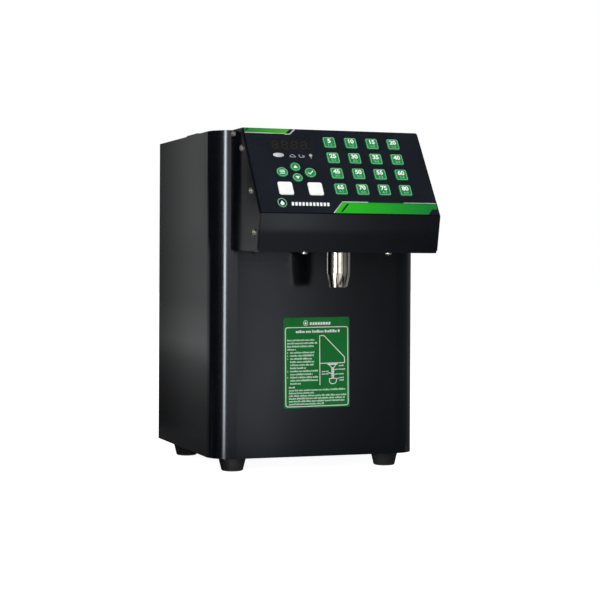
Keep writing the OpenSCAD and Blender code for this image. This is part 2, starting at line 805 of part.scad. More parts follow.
module pump_bracket() {
  near_y = pump_y - pump_l / 2;
  far_y = pump_y + pump_l / 2;
  color(case_black) difference() {
    union() {
      block([-bracket_half, near_y, pump_z - bracket_t], [bracket_half, far_y, pump_z]);
      for (side = [0, 1]) mirror([side, 0, 0]) {
        block([bracket_half - bracket_t, near_y, base_z], [bracket_half, far_y, pump_z]);
        block([bracket_half - bracket_t, near_y, base_z],
          [bracket_half + bracket_foot_l, far_y, base_z + bracket_t]);
      }
    }
    for (side = [-1, 1]) translate([side * drive_x, pump_y, pump_z - bracket_t - 1])
      cylinder(h = bracket_t + 2, r = shaft_r + loose_gap);
    for (x = [-1, 1], y = [-1, 1])
      translate([x * bracket_foot_x, pump_y + y * bracket_screw_y, base_z + bracket_t]) screw_hole();
  }
}

// ---------------------------------------------------------------- head

// The outer corners of the wrap, from its rear lip to its bottom lip
wrap_path = [
  [front_y, top_z - head_rear_lip],
  head_outline[0],
  head_outline[1],
  head_outline[2],
  head_outline[3],
  head_outline[3] + [head_lip, 0]
];
// A side flange ends above the floor plate
flange_outline = [
  head_outline[0],
  head_outline[1],
  head_outline[2],
  head_outline[3] + (floor_top_z - head_z) / head_front_way.y * head_front_way,
  [front_y, floor_top_z]
];

module head_wrap() {
  color(case_black) difference() {
    union() {
      translate([-wrap_half, 0, 0]) in_side_plane() linear_extrude(2 * wrap_half)
        polygon(strip(wrap_path, sheet_t));
      for (side = [0, 1]) mirror([side, 0, 0])
        translate([wrap_half - sheet_t, 0, 0]) in_side_plane() linear_extrude(sheet_t) difference() {
          polygon(drawn_in(flange_outline, 0.1));
          polygon(drawn_in(flange_outline, head_flange_w));
        }
      on_panel() for (p = board_studs)
        translate([p.x, -p.y, -board_depth]) cylinder(h = board_depth - sheet_t / 2, r = 2.5);
    }
    on_panel() translate([0, 0, -sheet_t - 1]) linear_extrude(sheet_t + 2) panel_openings();
    head_side_holes();
    for (side = [-1, 1]) translate([side * head_lip_x, head_lip_screw_y, head_z])
      rotate([180, 0, 0]) screw_hole();
    for (x = [-1, 1]) translate([x * head_rear_x, front_y - sheet_t, head_high_screw_z])
      rotate([90, 0, 0]) screw_hole();
  }
}
board_studs = [for (x = [board_left + 4, board_right - 4], v = [board_top + 4, board_bottom - 4]) [x, v]];

// The openings for the keys and the display, in the panel's plane
module panel_openings() {
  for (spot = all_spots) translate([spot[0], -spot[1]]) spot_outline(spot, key_gap);
  translate([display_u, -display_v]) square([display_w, display_h], center = true);
}

module head_side_holes() {
  for (p = head_side_places, side = [0, 1]) mirror([side, 0, 0])
    translate([head_w / 2, p.x, p.y]) rotate([0, 90, 0]) screw_hole();
}

module head_floor() {
  front_in = left_point(wrap_path, 4, sheet_t).x + loose_gap;
  half = wrap_half - loose_gap;
  color(case_black) difference() {
    union() {
      block([-half, front_in, floor_z], [half, front_y, floor_top_z]);
      block([-half + sheet_t, front_y - sheet_t, floor_z], [half - sheet_t, front_y, floor_top_z + head_lip]);
    }
    translate([0, nozzle_y, floor_z - 1]) cylinder(h = sheet_t + 2, r = stem_r);
    for (side = [-1, 1]) translate([side * head_lip_x, head_lip_screw_y, head_z])
      rotate([180, 0, 0]) screw_hole();
    for (x = [-1, 1]) translate([x * head_rear_x, front_y - sheet_t, head_low_screw_z])
      rotate([90, 0, 0]) screw_hole();
  }
}

// One side plate, for the left (0) or right (1)
module head_side(side) {
  raised = 1.5;
  plate_outline = [
    head_outline[0],
    head_outline[1],
    head_outline[2],
    head_outline[3] + raised / head_front_way.y * head_front_way,
    [front_y, head_z + raised]
  ];
  color(case_black) difference() {
    mirror([1 - side, 0, 0]) translate([wrap_half, 0, 0]) in_side_plane() linear_extrude(side_plate_t)
      polygon(drawn_in(plate_outline, side_plate_inset));
    head_side_holes();
  }
}

// ---------------------------------------------------------------- nozzle and valve

module nozzle_stem() {
  color(steel) translate([0, nozzle_y, 0]) difference() {
    union() {
      translate([0, 0, floor_z - stem_l]) cylinder(h = stem_l + sheet_t + stem_nut_h / 2, r = stem_r);
      translate([0, 0, floor_top_z]) cylinder(h = stem_nut_h, r = stem_nut_r, $fn = 6);
      translate([0, 0, floor_top_z + stem_nut_h]) cylinder(h = stem_tail_l, r = tail_r);
    }
    translate([0, 0, floor_z - stem_l - 1]) cylinder(h = stem_l + stem_nut_h + stem_tail_l + 10, r = seat_r);
  }
}

module nozzle() {
  tip_z = floor_z - nozzle_l;
  shoulder_z = floor_z - nozzle_straight;
  color(steel) translate([0, nozzle_y, 0]) difference() {
    rotate_extrude() polygon([
      [0, tip_z], [nozzle_tip_r - 0.8, tip_z], [nozzle_tip_r, tip_z + 0.8],
      [nozzle_r, shoulder_z], [nozzle_r, floor_z - 1], [nozzle_r - 0.8, floor_z - 0.2], [0, floor_z - 0.2]
    ]);
    translate([0, 0, chamber_top_z - 1]) cylinder(h = stem_l + 2, r = stem_r + running_gap);
    translate([0, 0, floor_z - 0.2 - washer_t]) cylinder(h = washer_t + 1, r = washer_r + loose_gap);
    translate([0, 0, chamber_floor_z]) cylinder(h = chamber_l, r = chamber_r);
    translate([0, 0, tip_z - 1]) cylinder(h = nozzle_l, r = 4);
  }
}
module nozzle_seal() {
  color([0.8, 0.8, 0.78]) translate([0, nozzle_y, floor_z - 0.1 - washer_t]) difference() {
    cylinder(h = washer_t, r = washer_r);
    translate([0, 0, -1]) cylinder(h = washer_t + 2, r = stem_r + loose_gap);
  }
}

module valve_ball() {
  color(steel) translate([0, nozzle_y, ball_z]) sphere(ball_r);
}

module valve_spring() {
  spring_r = ball_r;
  wire = 0.8;
  top = ball_z - ball_r * 0.62;
  color(steel) translate([0, nozzle_y, chamber_floor_z]) difference() {
    cylinder(h = top - chamber_floor_z, r = spring_r);
    translate([0, 0, -1]) cylinder(h = top - chamber_floor_z + 2, r = spring_r - wire);
    translate([0, 0, ball_z - chamber_floor_z]) sphere(ball_r + 0.1);
  }
}

// ---------------------------------------------------------------- keypad

module keypad_overlay() {
  side = 0.8;
  color(panel_black) on_panel() difference() {
    translate([-wrap_half + side, -slope_l + 1.2, 0])
      cube([2 * (wrap_half - side), slope_l - 2.2, overlay_t]);
    translate([0, 0, -1]) linear_extrude(overlay_t + 2) panel_openings();
  }
}

module display_window() {
  color([0.05, 0.05, 0.06]) on_panel() translate([display_u, -display_v, -sheet_t])
    linear_extrude(sheet_t + overlay_t) square([display_w - 0.2, display_h - 0.2], center = true);
}

module display_module() {
  color([0.1, 0.1, 0.1]) on_panel()
    translate([display_u - display_w / 2, -display_v - display_h / 2, -board_depth])
      cube([display_w, display_h, board_depth - sheet_t]);
}

module keypad_board() {
  color(board_green) on_panel() translate([board_left, -board_bottom, -board_depth - board_t])
    cube([board_right - board_left, board_bottom - board_top, board_t]);
}

module key_switches() {
  body = 6.2;
  h = board_depth - switch_top;
  color([0.15, 0.15, 0.15]) on_panel() for (spot = all_spots) at_spot(spot)
    translate([0, 0, -board_depth]) difference() {
      translate([-body / 2, -body / 2, 0]) cube([body, body, h]);
      translate([0, 0, 1]) cylinder(h = h, r = plunger_r + running_gap);
    }
}

// A key: cap in the panel's opening, flange under the sheet, stem in the switch below
module key(spot, paint) {
  flange_top = -sheet_t - 0.2;
  plunger_end = -board_depth + 1 + key_travel + 0.2;
  chamfer = 0.5;
  face = overlay_t + key_proud;
  color(paint) on_panel() at_spot(spot) {
    translate([0, 0, flange_top - 0.1]) linear_extrude(face - chamfer - flange_top + 0.1)
      spot_outline(spot, 0);
    translate([0, 0, face - chamfer]) linear_extrude(chamfer) spot_outline(spot, -0.4);
    translate([0, 0, flange_top - key_flange_t]) linear_extrude(key_flange_t) spot_outline(spot, key_flange);
    translate([0, 0, plunger_end]) cylinder(h = flange_top - key_flange_t - plunger_end + 0.1, r = plunger_r);
  }
}

// A flat ribbon, folded at each turn, that ends in a plug on the back of the board
module keypad_cable() {
  low_z = psu_top_z + ribbon_rise;
  back = board_depth + board_t;
  plug_place = panel_point(ribbon_x, plug_v, -back - plug.z / 2);
  ribbon_path = [
    [psu_front_y + 8, psu_top_z],
    [psu_front_y + 8, low_z],
    [riser_y, low_z],
    [riser_y, hose_z],
    [plug_place.y, hose_z],
    [plug_place.y, plug_place.z]
  ];
  color([0.2, 0.2, 0.2]) {
    translate([ribbon_x - ribbon_w / 2, 0, 0]) in_side_plane() linear_extrude(ribbon_w)
      polygon(strip(ribbon_path, ribbon_t));
    on_panel() translate([ribbon_x - plug.x / 2, -plug_v - plug.y / 2, -back - plug.z]) cube(plug);
  }
}

// ---------------------------------------------------------------- electrics

module power_supply() {
  color([0.7, 0.71, 0.72]) difference() {
    block([psu_left_x, psu_front_y, base_z], [psu_right_x, psu_front_y + psu_l, psu_top_z]);
    for (row = [0:6])
      translate([psu_left_x + psu_w / 2, psu_front_y + psu_l / 4 + row * psu_l / 11, psu_top_z - 1.5])
        linear_extrude(3) slot(psu_w - 14, vent_w);
  }
}

// The inlet's body behind the panel, grown by a gap and reaching out by a length
module inlet_body(gap, out) {
  translate([0, 0, -inlet_l]) linear_extrude(inlet_l + out)
    rounded_rect(inlet_w + 2 * gap, inlet_h + 2 * gap, inlet_r);
}

module power_inlet() {
  cavity_z = inlet_flange_t - inlet_cavity;
  hole_x = (inlet_flange_w + inlet_w) / 4;
  color([0.06, 0.06, 0.06]) on_back(inlet_x, foot_h + inlet_z) {
    difference() {
      union() {
        inlet_body(0, 0.1);
        linear_extrude(inlet_flange_t) rounded_rect(inlet_flange_w, inlet_flange_h, 5);
      }
      translate([0, 0, cavity_z]) linear_extrude(inlet_cavity + 1)
        rounded_rect(inlet_w - 2 * inlet_wall, inlet_h - 2 * inlet_wall, inlet_r);
      for (side = [-1, 1]) translate([side * hole_x, 0, -1]) cylinder(h = inlet_flange_t + 2, r = 1.6);
    }
    for (p = [[-pin_step, -pin_row], [0, pin_row], [pin_step, -pin_row]])
      translate([p.x - pin_w / 2, p.y - pin_h / 2, cavity_z - 0.5]) cube([pin_w, pin_h, pin_l]);
  }
}

// The switch's body behind the panel, grown by a gap and reaching out by a length
module switch_body(gap, out) {
  translate([0, 0, -switch_l]) linear_extrude(switch_l + out)
    square([switch_w + 2 * gap, switch_h + 2 * gap], center = true);
}

rocker_half = 8.4;
rocker_w = 10.6;
axle_half = 6.3;
rocker_axle_r = 1.2;
rocker_axle_z = -2;

module power_switch() {
  bezel_t = 2;
  well_half = rocker_half + 1.1;
  color([0.06, 0.06, 0.06]) on_back(inlet_x + switch_step, foot_h + inlet_z) difference() {
    union() {
      switch_body(0, 0.1);
      linear_extrude(bezel_t) rounded_rect(switch_w + 2.4, switch_h + 2.4, 1);
    }
    block([-rocker_w / 2 - loose_gap, -well_half, -12], [rocker_w / 2 + loose_gap, well_half, 8]);
    translate([-axle_half - 0.5, 0, rocker_axle_z]) rotate([0, 90, 0])
      cylinder(h = 2 * axle_half + 1, r = rocker_axle_r + running_gap);
  }
}

module switch_rocker() {
  color([0.5, 0.03, 0.03]) on_back(inlet_x + switch_step, foot_h + inlet_z)
    translate([0, 0, rocker_axle_z]) rotate([rocker_tilt, 0, 0]) {
      translate([-rocker_w / 2, 0, 0]) in_side_plane() linear_extrude(rocker_w) polygon([
        [-rocker_half, 3.6], [0, 2.4], [rocker_half, 3.6],
        [rocker_half, -0.5], [3, -4], [-3, -4], [-rocker_half, -0.5]
      ]);
      translate([-axle_half, 0, 0]) rotate([0, 90, 0]) cylinder(h = 2 * axle_half, r = rocker_axle_r);
    }
}

// ---------------------------------------------------------------- the assembly

outer_wrap();
back_panel();
base_plate();
top_deck();
lid();
feet();
case_screws();
front_label();
tank();
tank_outlet();
suction_hose();
delivery_hose();
pump_housing();
pump_cover();
drive_gear();
idler_gear();
motor_shaft();
pump_motor();
pump_bracket();
head_wrap();
head_floor();
head_side(0);  // head_side_left
head_side(1);  // head_side_right
nozzle_stem();
nozzle();
nozzle_seal();
valve_ball();
valve_spring();
keypad_overlay();
display_window();
display_module();
keypad_board();
key_switches();
keypad_cable();
key(up_spot, key_green);  // key_up
key(down_spot, key_green);  // key_down
key(menu_spot, key_green);  // key_menu
key(enter_spot, key_green);  // key_enter
key(white_left_spot, "white");  // key_white_left
key(white_right_spot, "white");  // key_white_right
power_supply();
power_inlet();
power_switch();
switch_rocker();
for (i = [0:15]) key(portion_spots[i], key_green);
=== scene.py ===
"""Fructose dispenser: the looks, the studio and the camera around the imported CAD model.

Lengths in the drawings are millimetres, as in the CAD source. Blender works in metres.
"""
import json
import math

import bmesh
import bpy
from mathutils import Matrix, Vector


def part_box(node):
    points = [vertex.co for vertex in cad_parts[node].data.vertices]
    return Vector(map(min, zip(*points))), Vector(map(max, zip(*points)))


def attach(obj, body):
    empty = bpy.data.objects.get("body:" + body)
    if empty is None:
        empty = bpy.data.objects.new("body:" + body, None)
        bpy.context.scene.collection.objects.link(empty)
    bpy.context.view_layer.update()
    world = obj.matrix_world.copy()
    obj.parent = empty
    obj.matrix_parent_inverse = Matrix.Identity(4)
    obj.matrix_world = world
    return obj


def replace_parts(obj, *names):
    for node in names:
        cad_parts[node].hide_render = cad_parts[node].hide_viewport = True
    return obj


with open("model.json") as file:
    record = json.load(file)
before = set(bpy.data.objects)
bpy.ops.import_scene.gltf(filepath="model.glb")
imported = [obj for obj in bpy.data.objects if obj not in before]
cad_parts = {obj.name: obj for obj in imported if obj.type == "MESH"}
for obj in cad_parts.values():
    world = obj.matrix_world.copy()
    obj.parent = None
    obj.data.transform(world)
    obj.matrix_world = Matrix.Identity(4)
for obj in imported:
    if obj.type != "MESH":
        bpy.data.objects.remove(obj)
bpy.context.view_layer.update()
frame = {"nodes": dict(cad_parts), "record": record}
nodes = frame["nodes"]

MM = 0.001

# How far a print stands out, and how deep it is sunk into what carries it
INK_T = 0.06
INK_ROOT = 0.1
LABEL_INK_ROOT = 0.05
TRIM_LIFT = 0.02
SEGMENT_T = 0.05

# The sloping panel: x runs across, v down the slope from its top edge, out away from it
PANEL_TOP = Vector((0, -115.85, 418.5))
PANEL_DOWN = Vector((0, -71.9, -104.3)).normalized()
PANEL_OUT = Vector((0, -104.3, 71.9)).normalized()
OVERLAY_T = 0.8
KEY_FACE = 1.7
WINDOW_FACE = 0.8
PANEL_LEFT = -111.7
PANEL_RIGHT = 111.7
PANEL_BOTTOM = 125.4

# The label on the front wall, turned a little
LABEL_PLACE = Vector((-1.6, -74.25, 133.7))
LABEL_TILT = math.radians(0.7)
LABEL_T = 0.3


# ---------------------------------------------------------------- places

def on_panel(x, v, out):
    return (PANEL_TOP + Vector((x, 0, 0)) + v * PANEL_DOWN + out * PANEL_OUT) * MM


def on_label(x, y, out):
    c, s = math.cos(LABEL_TILT), math.sin(LABEL_TILT)
    return (LABEL_PLACE + Vector((x * c - y * s, -out, x * s + y * c))) * MM


# ---------------------------------------------------------------- flat shapes

def rect(x0, y0, x1, y1):
    return [(x0, y0), (x1, y0), (x1, y1), (x0, y1)]


def round_rect(cx, cy, w, h, r, steps=5):
    points = []
    corners = ((1, 1, 0), (-1, 1, 90), (-1, -1, 180), (1, -1, 270))
    for sx, sy, start in corners:
        for i in range(steps + 1):
            a = math.radians(start + 90 * i / steps)
            points.append((cx + sx * (w / 2 - r) + r * math.cos(a), cy + sy * (h / 2 - r) + r * math.sin(a)))
    return points


def ellipse(cx, cy, rx, ry, steps=40):
    turn = 2 * math.pi / steps
    return [(cx + rx * math.cos(i * turn), cy + ry * math.sin(i * turn)) for i in range(steps)]


def stroke(points, width):
    """A line of some width along a polyline, as one four-sided outline for each of its stretches."""
    shapes = []
    for (x0, y0), (x1, y1) in zip(points, points[1:]):
        length = math.hypot(x1 - x0, y1 - y0)
        nx, ny = -(y1 - y0) / length * width / 2, (x1 - x0) / length * width / 2
        shapes.append([(x0 + nx, y0 + ny), (x1 + nx, y1 + ny), (x1 - nx, y1 - ny), (x0 - nx, y0 - ny)])
    return shapes


def droplet(cx, cy, r):
    """A drop with its point towards lower values of the second coordinate."""
    tip, steps = 1.75, 24
    points = [(cx, cy - tip * r)]
    for i in range(steps + 1):
        a = math.radians(-30 + 240 * i / steps)
        points.append((cx + r * math.cos(a), cy + r * math.sin(a)))
    return points


# ---------------------------------------------------------------- meshes

class Sheet:
    """Thin solid prints and plates on one carrier, gathered into one mesh."""

    def __init__(self, place):
        self.place = place
        self.mesh = bmesh.new()

    def prism(self, outline, low, high, paint=0):
        """A closed prism over a simple outline."""
        rows = [[self.mesh.verts.new(self.place(x, y, level)) for x, y in outline] for level in (low, high)]
        faces = [self.mesh.faces.new(rows[1]), self.mesh.faces.new(rows[0][::-1])]
        for i in range(len(outline)):
            j = (i + 1) % len(outline)
            faces.append(self.mesh.faces.new((rows[0][i], rows[0][j], rows[1][j], rows[1][i])))
        for face in faces:
            face.material_index = paint

    def frame(self, outer, inner, low, high, paint=0):
        """A closed band between two outlines with the same number of points."""
        loops = []
        for outline, level in ((outer, low), (outer, high), (inner, high), (inner, low)):
            loops.append([self.mesh.verts.new(self.place(x, y, level)) for x, y in outline])
        for a, b in zip(loops, loops[1:] + loops[:1]):
            for i in range(len(outer)):
                j = (i + 1) % len(outer)
                self.mesh.faces.new((a[i], a[j], b[j], b[i])).material_index = paint

    def text(self, words, x, v, size, low, high, paint=0, bold=0.0):
        """Plain numbers on the panel, where v runs down, centred on a point."""
        curve = bpy.data.curves.new("digits", "FONT")
        curve.body = words
        curve.size = size
        curve.align_x = "CENTER"
        curve.align_y = "CENTER"
        curve.offset = bold
        curve.resolution_u = 4
        holder = bpy.data.objects.new("digits", curve)
        bpy.context.scene.collection.objects.link(holder)
        bpy.context.view_layer.update()
        flat = bpy.data.meshes.new_from_object(holder.evaluated_get(bpy.context.evaluated_depsgraph_get()))
        part = bmesh.new()
        part.from_mesh(flat)
        bmesh.ops.remove_doubles(part, verts=part.verts, dist=size * 1e-4)
        made = bmesh.ops.extrude_face_region(part, geom=list(part.faces))
        for item in made["geom"]:
            if isinstance(item, bmesh.types.BMVert):
                item.co.z = 1
        known = {}
        for vert in part.verts:
            place = self.place(x + vert.co.x, v - vert.co.y, high if vert.co.z > 0.5 else low)
            known[vert] = self.mesh.verts.new(place)
        for face in part.faces:
            self.mesh.faces.new([known[v] for v in face.verts]).material_index = paint
        part.free()
        bpy.data.objects.remove(holder)
        bpy.data.curves.remove(curve)
        bpy.data.meshes.remove(flat)

    def finish(self, name, body, slot, *paints):
        bmesh.ops.recalc_face_normals(self.mesh, faces=self.mesh.faces)
        data = bpy.data.meshes.new(name)
        self.mesh.to_mesh(data)
        self.mesh.free()
        return piece(name, data, body, slot, *paints)


def skinned(name, mesh, rings):
    """The smooth closed skin over a row of rings of points, flat at both ends."""
    for a, b in zip(rings, rings[1:]):
        for i in range(len(a)):
            j = (i + 1) % len(a)
            mesh.faces.new((a[i], a[j], b[j], b[i]))
    mesh.faces.new(rings[0][::-1])
    mesh.faces.new(rings[-1])
    bmesh.ops.recalc_face_normals(mesh, faces=mesh.faces)
    data = bpy.data.meshes.new(name)
    mesh.to_mesh(data)
    mesh.free()
    for polygon in data.polygons:
        polygon.use_smooth = True
    return data


def piece(name, data, body, slot, *paints):
    made = bpy.data.objects.new(name, data)
    bpy.context.scene.collection.objects.link(made)
    for paint in paints:
        data.materials.append(paint)
    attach(made, body)
    return made


# ---------------------------------------------------------------- materials

# The depth of a surface's fine grain, in metres
GRAIN = 0.0001


class Paint:
    """A principled material whose colour, gloss and relief come from procedural nodes."""

    def __init__(self, name, **values):
        self.material = bpy.data.materials.new(name)
        self.material.use_nodes = True
        self.tree = self.material.node_tree
        self.shader = self.tree.nodes["Principled BSDF"]
        for key, value in values.items():
            self.shader.inputs[key.replace("_", " ")].default_value = value
        self.coords = self.tree.nodes.new("ShaderNodeTexCoord").outputs["Object"]
        self.height = None

    def link(self, source, target):
        self.tree.links.new(source, target)

    def add(self, kind):
        return self.tree.nodes.new(kind)

    def noise(self, scale, detail=3.0, stretch=(1, 1, 1)):
        node = self.add("ShaderNodeTexNoise")
        node.inputs["Scale"].default_value = scale
        node.inputs["Detail"].default_value = detail
        source = self.coords
        if stretch != (1, 1, 1):
            mapping = self.add("ShaderNodeMapping")
            mapping.inputs["Scale"].default_value = stretch
            self.link(source, mapping.inputs["Vector"])
            source = mapping.outputs["Vector"]
        self.link(source, node.inputs["Vector"])
        return node.outputs["Fac"]

    def span(self, source, low, high, from_low=0.3, from_high=0.7):
        """Maps a noise to a range."""
        node = self.add("ShaderNodeMapRange")
        node.inputs["From Min"].default_value = from_low
        node.inputs["From Max"].default_value = from_high
        node.inputs["To Min"].default_value = low
        node.inputs["To Max"].default_value = high
        self.link(source, node.inputs["Value"])
        return node.outputs["Result"]

    def colours(self, source, low, high, from_low=0.3, from_high=0.7):
        """Colour between two values along a noise or a coordinate."""
        ramp = self.add("ShaderNodeValToRGB")
        ramp.color_ramp.elements[0].color = (*low, 1)
        ramp.color_ramp.elements[1].color = (*high, 1)
        self.link(self.span(source, 0, 1, from_low, from_high), ramp.inputs["Fac"])
        self.link(ramp.outputs["Color"], self.shader.inputs["Base Color"])
        return self

    def gloss(self, source, low, high):
        self.link(self.span(source, low, high), self.shader.inputs["Roughness"])
        return self

    def relief(self, source, strength, distance=GRAIN):
        """Adds one layer of bump, on top of the ones before."""
        bump = self.add("ShaderNodeBump")
        bump.inputs["Strength"].default_value = strength
        bump.inputs["Distance"].default_value = distance
        self.link(source, bump.inputs["Height"])
        if self.height:
            self.link(self.height, bump.inputs["Normal"])
        self.height = bump.outputs["Normal"]
        self.link(self.height, self.shader.inputs["Normal"])
        return self


def powder_coat():
    paint = Paint("powder_coat", IOR=1.48, Specular_Tint=(0.84, 0.91, 1.0, 1.0))
    paint.colours(paint.noise(14), (0.0018, 0.0022, 0.0034), (0.0030, 0.0035, 0.0052))
    paint.gloss(paint.noise(9, 4), 0.12, 0.16)
    paint.relief(paint.noise(900, 2), 0.05)
    paint.relief(paint.noise(40, 1), 0.012, 10 * GRAIN)
    return paint.material


def membrane():
    paint = Paint("membrane", IOR=1.42)
    paint.colours(paint.noise(30), (0.0034, 0.0052, 0.0100), (0.0050, 0.0072, 0.0130))
    paint.gloss(paint.noise(40, 4), 0.42, 0.52)
    paint.relief(paint.noise(1800, 1), 0.18)
    return paint.material


def plastic(name, low, high, rough, grain=900, relief=0.05, **values):
    paint = Paint(name, **values)
    paint.colours(paint.noise(60), low, high)
    paint.gloss(paint.noise(45, 4), rough - 0.05, rough + 0.05)
    paint.relief(paint.noise(grain, 2), relief)
    return paint.material


def graded(name, left, right, x0, x1):
    """A printed strip whose green changes across the panel, from x0 to x1."""
    paint = Paint(name, IOR=1.45)
    split = paint.add("ShaderNodeSeparateXYZ")
    paint.link(paint.coords, split.inputs["Vector"])
    paint.colours(split.outputs["X"], left, right, x0 * MM, x1 * MM)
    paint.gloss(paint.noise(40, 4), 0.28, 0.38)
    paint.relief(paint.noise(1500, 1), 0.08)
    return paint.material


def metal(name, low, high, rough, scale, stretch=(1, 1, 1), relief=0.05):
    paint = Paint(name, Metallic=1.0)
    grain = paint.noise(scale, 4, stretch)
    paint.colours(grain, low, high)
    paint.gloss(grain, rough - 0.04, rough + 0.06)
    paint.relief(grain, relief)
    return paint.material


def drawn_steel():
    """Polished tube with fine lines along its length, its colour streaked from near-black brown to near white as
    painted reflections.
    """
    paint = Paint("drawn_steel", Metallic=1.0)
    lines = paint.noise(360, 1, (1, 1, 0.004))
    # Painted reflection: the lines' colour runs from near-black brown to near white, standing in for the dark
    # and bright streaks that a polished tube mirrors. Only their fineness is the tube's own drawn grain.
    paint.colours(lines, (0.07, 0.055, 0.035), (0.93, 0.88, 0.79), 0.40, 0.60)
    paint.gloss(paint.noise(900, 3), 0.08, 0.14)
    paint.relief(lines, 0.02)
    return paint.material


def silicone():
    paint = Paint("silicone", IOR=1.41, Transmission_Weight=0.75)
    paint.colours(paint.noise(80), (0.78, 0.80, 0.76), (0.88, 0.90, 0.87))
    paint.gloss(paint.noise(120), 0.18, 0.3)
    paint.relief(paint.noise(400), 0.08, 2 * GRAIN)
    return paint.material


def solder_mask():
    paint = Paint("solder_mask", IOR=1.5)
    tracks = paint.add("ShaderNodeTexBrick")
    tracks.inputs["Scale"].default_value = 180
    tracks.inputs["Color1"].default_value = (0.010, 0.085, 0.030, 1)
    tracks.inputs["Color2"].default_value = (0.013, 0.105, 0.036, 1)
    tracks.inputs["Mortar"].default_value = (0.030, 0.190, 0.070, 1)
    paint.link(paint.coords, tracks.inputs["Vector"])
    paint.link(tracks.outputs["Color"], paint.shader.inputs["Base Color"])
    paint.gloss(paint.noise(200), 0.25, 0.38)
    paint.relief(tracks.outputs["Fac"], 0.2)
    return paint.material


CASE = powder_coat()
MEMBRANE = membrane()
GREEN = plastic("key_green", (0.004, 0.190, 0.045), (0.006, 0.235, 0.058), 0.30, IOR=1.46)
PALE_GREEN = plastic("pale_green_ink", (0.17, 0.44, 0.24), (0.21, 0.50, 0.28), 0.4)
WHITE_KEY = plastic("key_white", (0.80, 0.80, 0.79), (0.88, 0.88, 0.87), 0.30)
WHITE_INK = plastic("white_ink", (0.74, 0.78, 0.76), (0.84, 0.87, 0.85), 0.45)
GREY_INK = plastic("grey_ink", (0.30, 0.31, 0.32), (0.36, 0.37, 0.38), 0.45)
BLACK_INK = plastic("black_ink", (0.004, 0.005, 0.005), (0.007, 0.008, 0.008), 0.42)
SILVER_INK = plastic("silver_ink", (0.36, 0.36, 0.37), (0.60, 0.60, 0.61), 0.36, grain=500)
SMOKED = plastic("smoked_window", (0.0070, 0.0068, 0.0066), (0.0085, 0.0082, 0.0078), 0.22, relief=0.02)
SEGMENT = plastic("unlit_segment", (0.0125, 0.0125, 0.0105), (0.0155, 0.0150, 0.0125), 0.35)
STRIP_TOP = graded("strip_top", (0.003, 0.18, 0.022), (0.034, 0.34, 0.008), -110, -60)
STRIP_BOTTOM = graded("strip_bottom", (0.012, 0.42, 0.004), (0.002, 0.19, 0.022), -15, 100)
LABEL_GREEN = plastic("label_green", (0.001, 0.130, 0.018), (0.002, 0.158, 0.026), 0.42, relief=0.03, IOR=1.30)
NOZZLE = drawn_steel()
TANK = metal("brushed_steel", (0.50, 0.50, 0.50), (0.62, 0.62, 0.63), 0.28, 260, (1, 1, 0.03), 0.10)
SCREW = metal("nickel", (0.74, 0.68, 0.56), (0.88, 0.81, 0.68), 0.30, 400)
CAST = metal("machined_alloy", (0.42, 0.42, 0.43), (0.55, 0.55, 0.56), 0.38, 300, (1, 1, 4), 0.12)
RUBBER = plastic("rubber", (0.0045, 0.0045, 0.0050), (0.0080, 0.0080, 0.0085), 0.6, 500, 0.35)
SILICONE = silicone()
BOARD = solder_mask()
BLACK_PLASTIC = plastic("moulded_black", (0.010, 0.010, 0.011), (0.016, 0.016, 0.017), 0.42, 700, 0.15)
RED_PLASTIC = plastic("moulded_red", (0.36, 0.012, 0.010), (0.45, 0.018, 0.014), 0.28)
SEAL = plastic("seal_rubber", (0.55, 0.55, 0.52), (0.66, 0.66, 0.63), 0.5, 400, 0.2)
PALE_INK = plastic("pale_ink", (0.52, 0.70, 0.57), (0.60, 0.78, 0.65), 0.45)

BY_SLOT = {
    "case": CASE, "overlay": MEMBRANE, "green_key": GREEN, "white_key": WHITE_KEY, "display": SMOKED,
    "nozzle_steel": NOZZLE, "tank_steel": TANK, "screw": SCREW, "cast": CAST, "rubber": RUBBER,
    "hose": SILICONE, "board": BOARD, "black_plastic": BLACK_PLASTIC, "red_plastic": RED_PLASTIC,
    "label": LABEL_GREEN, "seal": SEAL,
}


def node_slots():
    """The material slot of each CAD node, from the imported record."""
    found = {}
    for part in frame["record"]["subparts"]:
        found[part["node"]] = part["material_slot"]
    return found


# How wide the softened edges are on the pieces whose edges show
SHOWN_EDGES = {
    "outer_wrap": 0.25, "lid": 0.5, "head_wrap": 0.35, "head_side_left": 0.35, "head_side_right": 0.35,
    "head_floor": 0.3, "keypad_overlay": 0.25, "power_inlet": 0.4, "power_switch": 0.3, "switch_rocker": 0.4,
    "feet": 0.5, "front_label": 0.08,
}


def dress(name, node, paint):
    """Gives a CAD node its material, smooth curved faces and, where it shows, softened edges."""
    data = node.data
    data.materials.clear()
    data.materials.append(paint)
    for polygon in data.polygons:
        polygon.material_index = 0
        polygon.use_smooth = True
    data.set_sharp_from_angle(angle=math.radians(28))
    if name in SHOWN_EDGES:
        flat = node.modifiers.new("whole_faces", "DECIMATE")
        flat.decimate_type = "DISSOLVE"
        flat.angle_limit = math.radians(0.5)
        bevel = node.modifiers.new("soft_edges", "BEVEL")
        bevel.width = SHOWN_EDGES[name] * MM
        bevel.segments = 2
        bevel.limit_method = "ANGLE"
        bevel.angle_limit = math.radians(40)
        bevel.harden_normals = True


slots = node_slots()
for name, node in nodes.items():
    dress(name, node, BY_SLOT[slots[name]])


# ---------------------------------------------------------------- keys

KEY_W, KEY_H, KEY_R = 15.5, 16.2, 2.5
FIRST_KEY = (-6.7, 20.2)
KEY_PITCH = (27.7, 23.4)
KEY_ROWS = 4
KEY_COLUMNS = 4
PORTION = 5

# Name, place on the panel and radius
ROUND_KEYS = (("key_up", -57.8, 58.75, 6.25), ("key_down", -57.8, 74.65, 6.25),
              ("key_menu", -75.6, 66.9, 7.0), ("key_enter", -40.4, 66.9, 7.0))


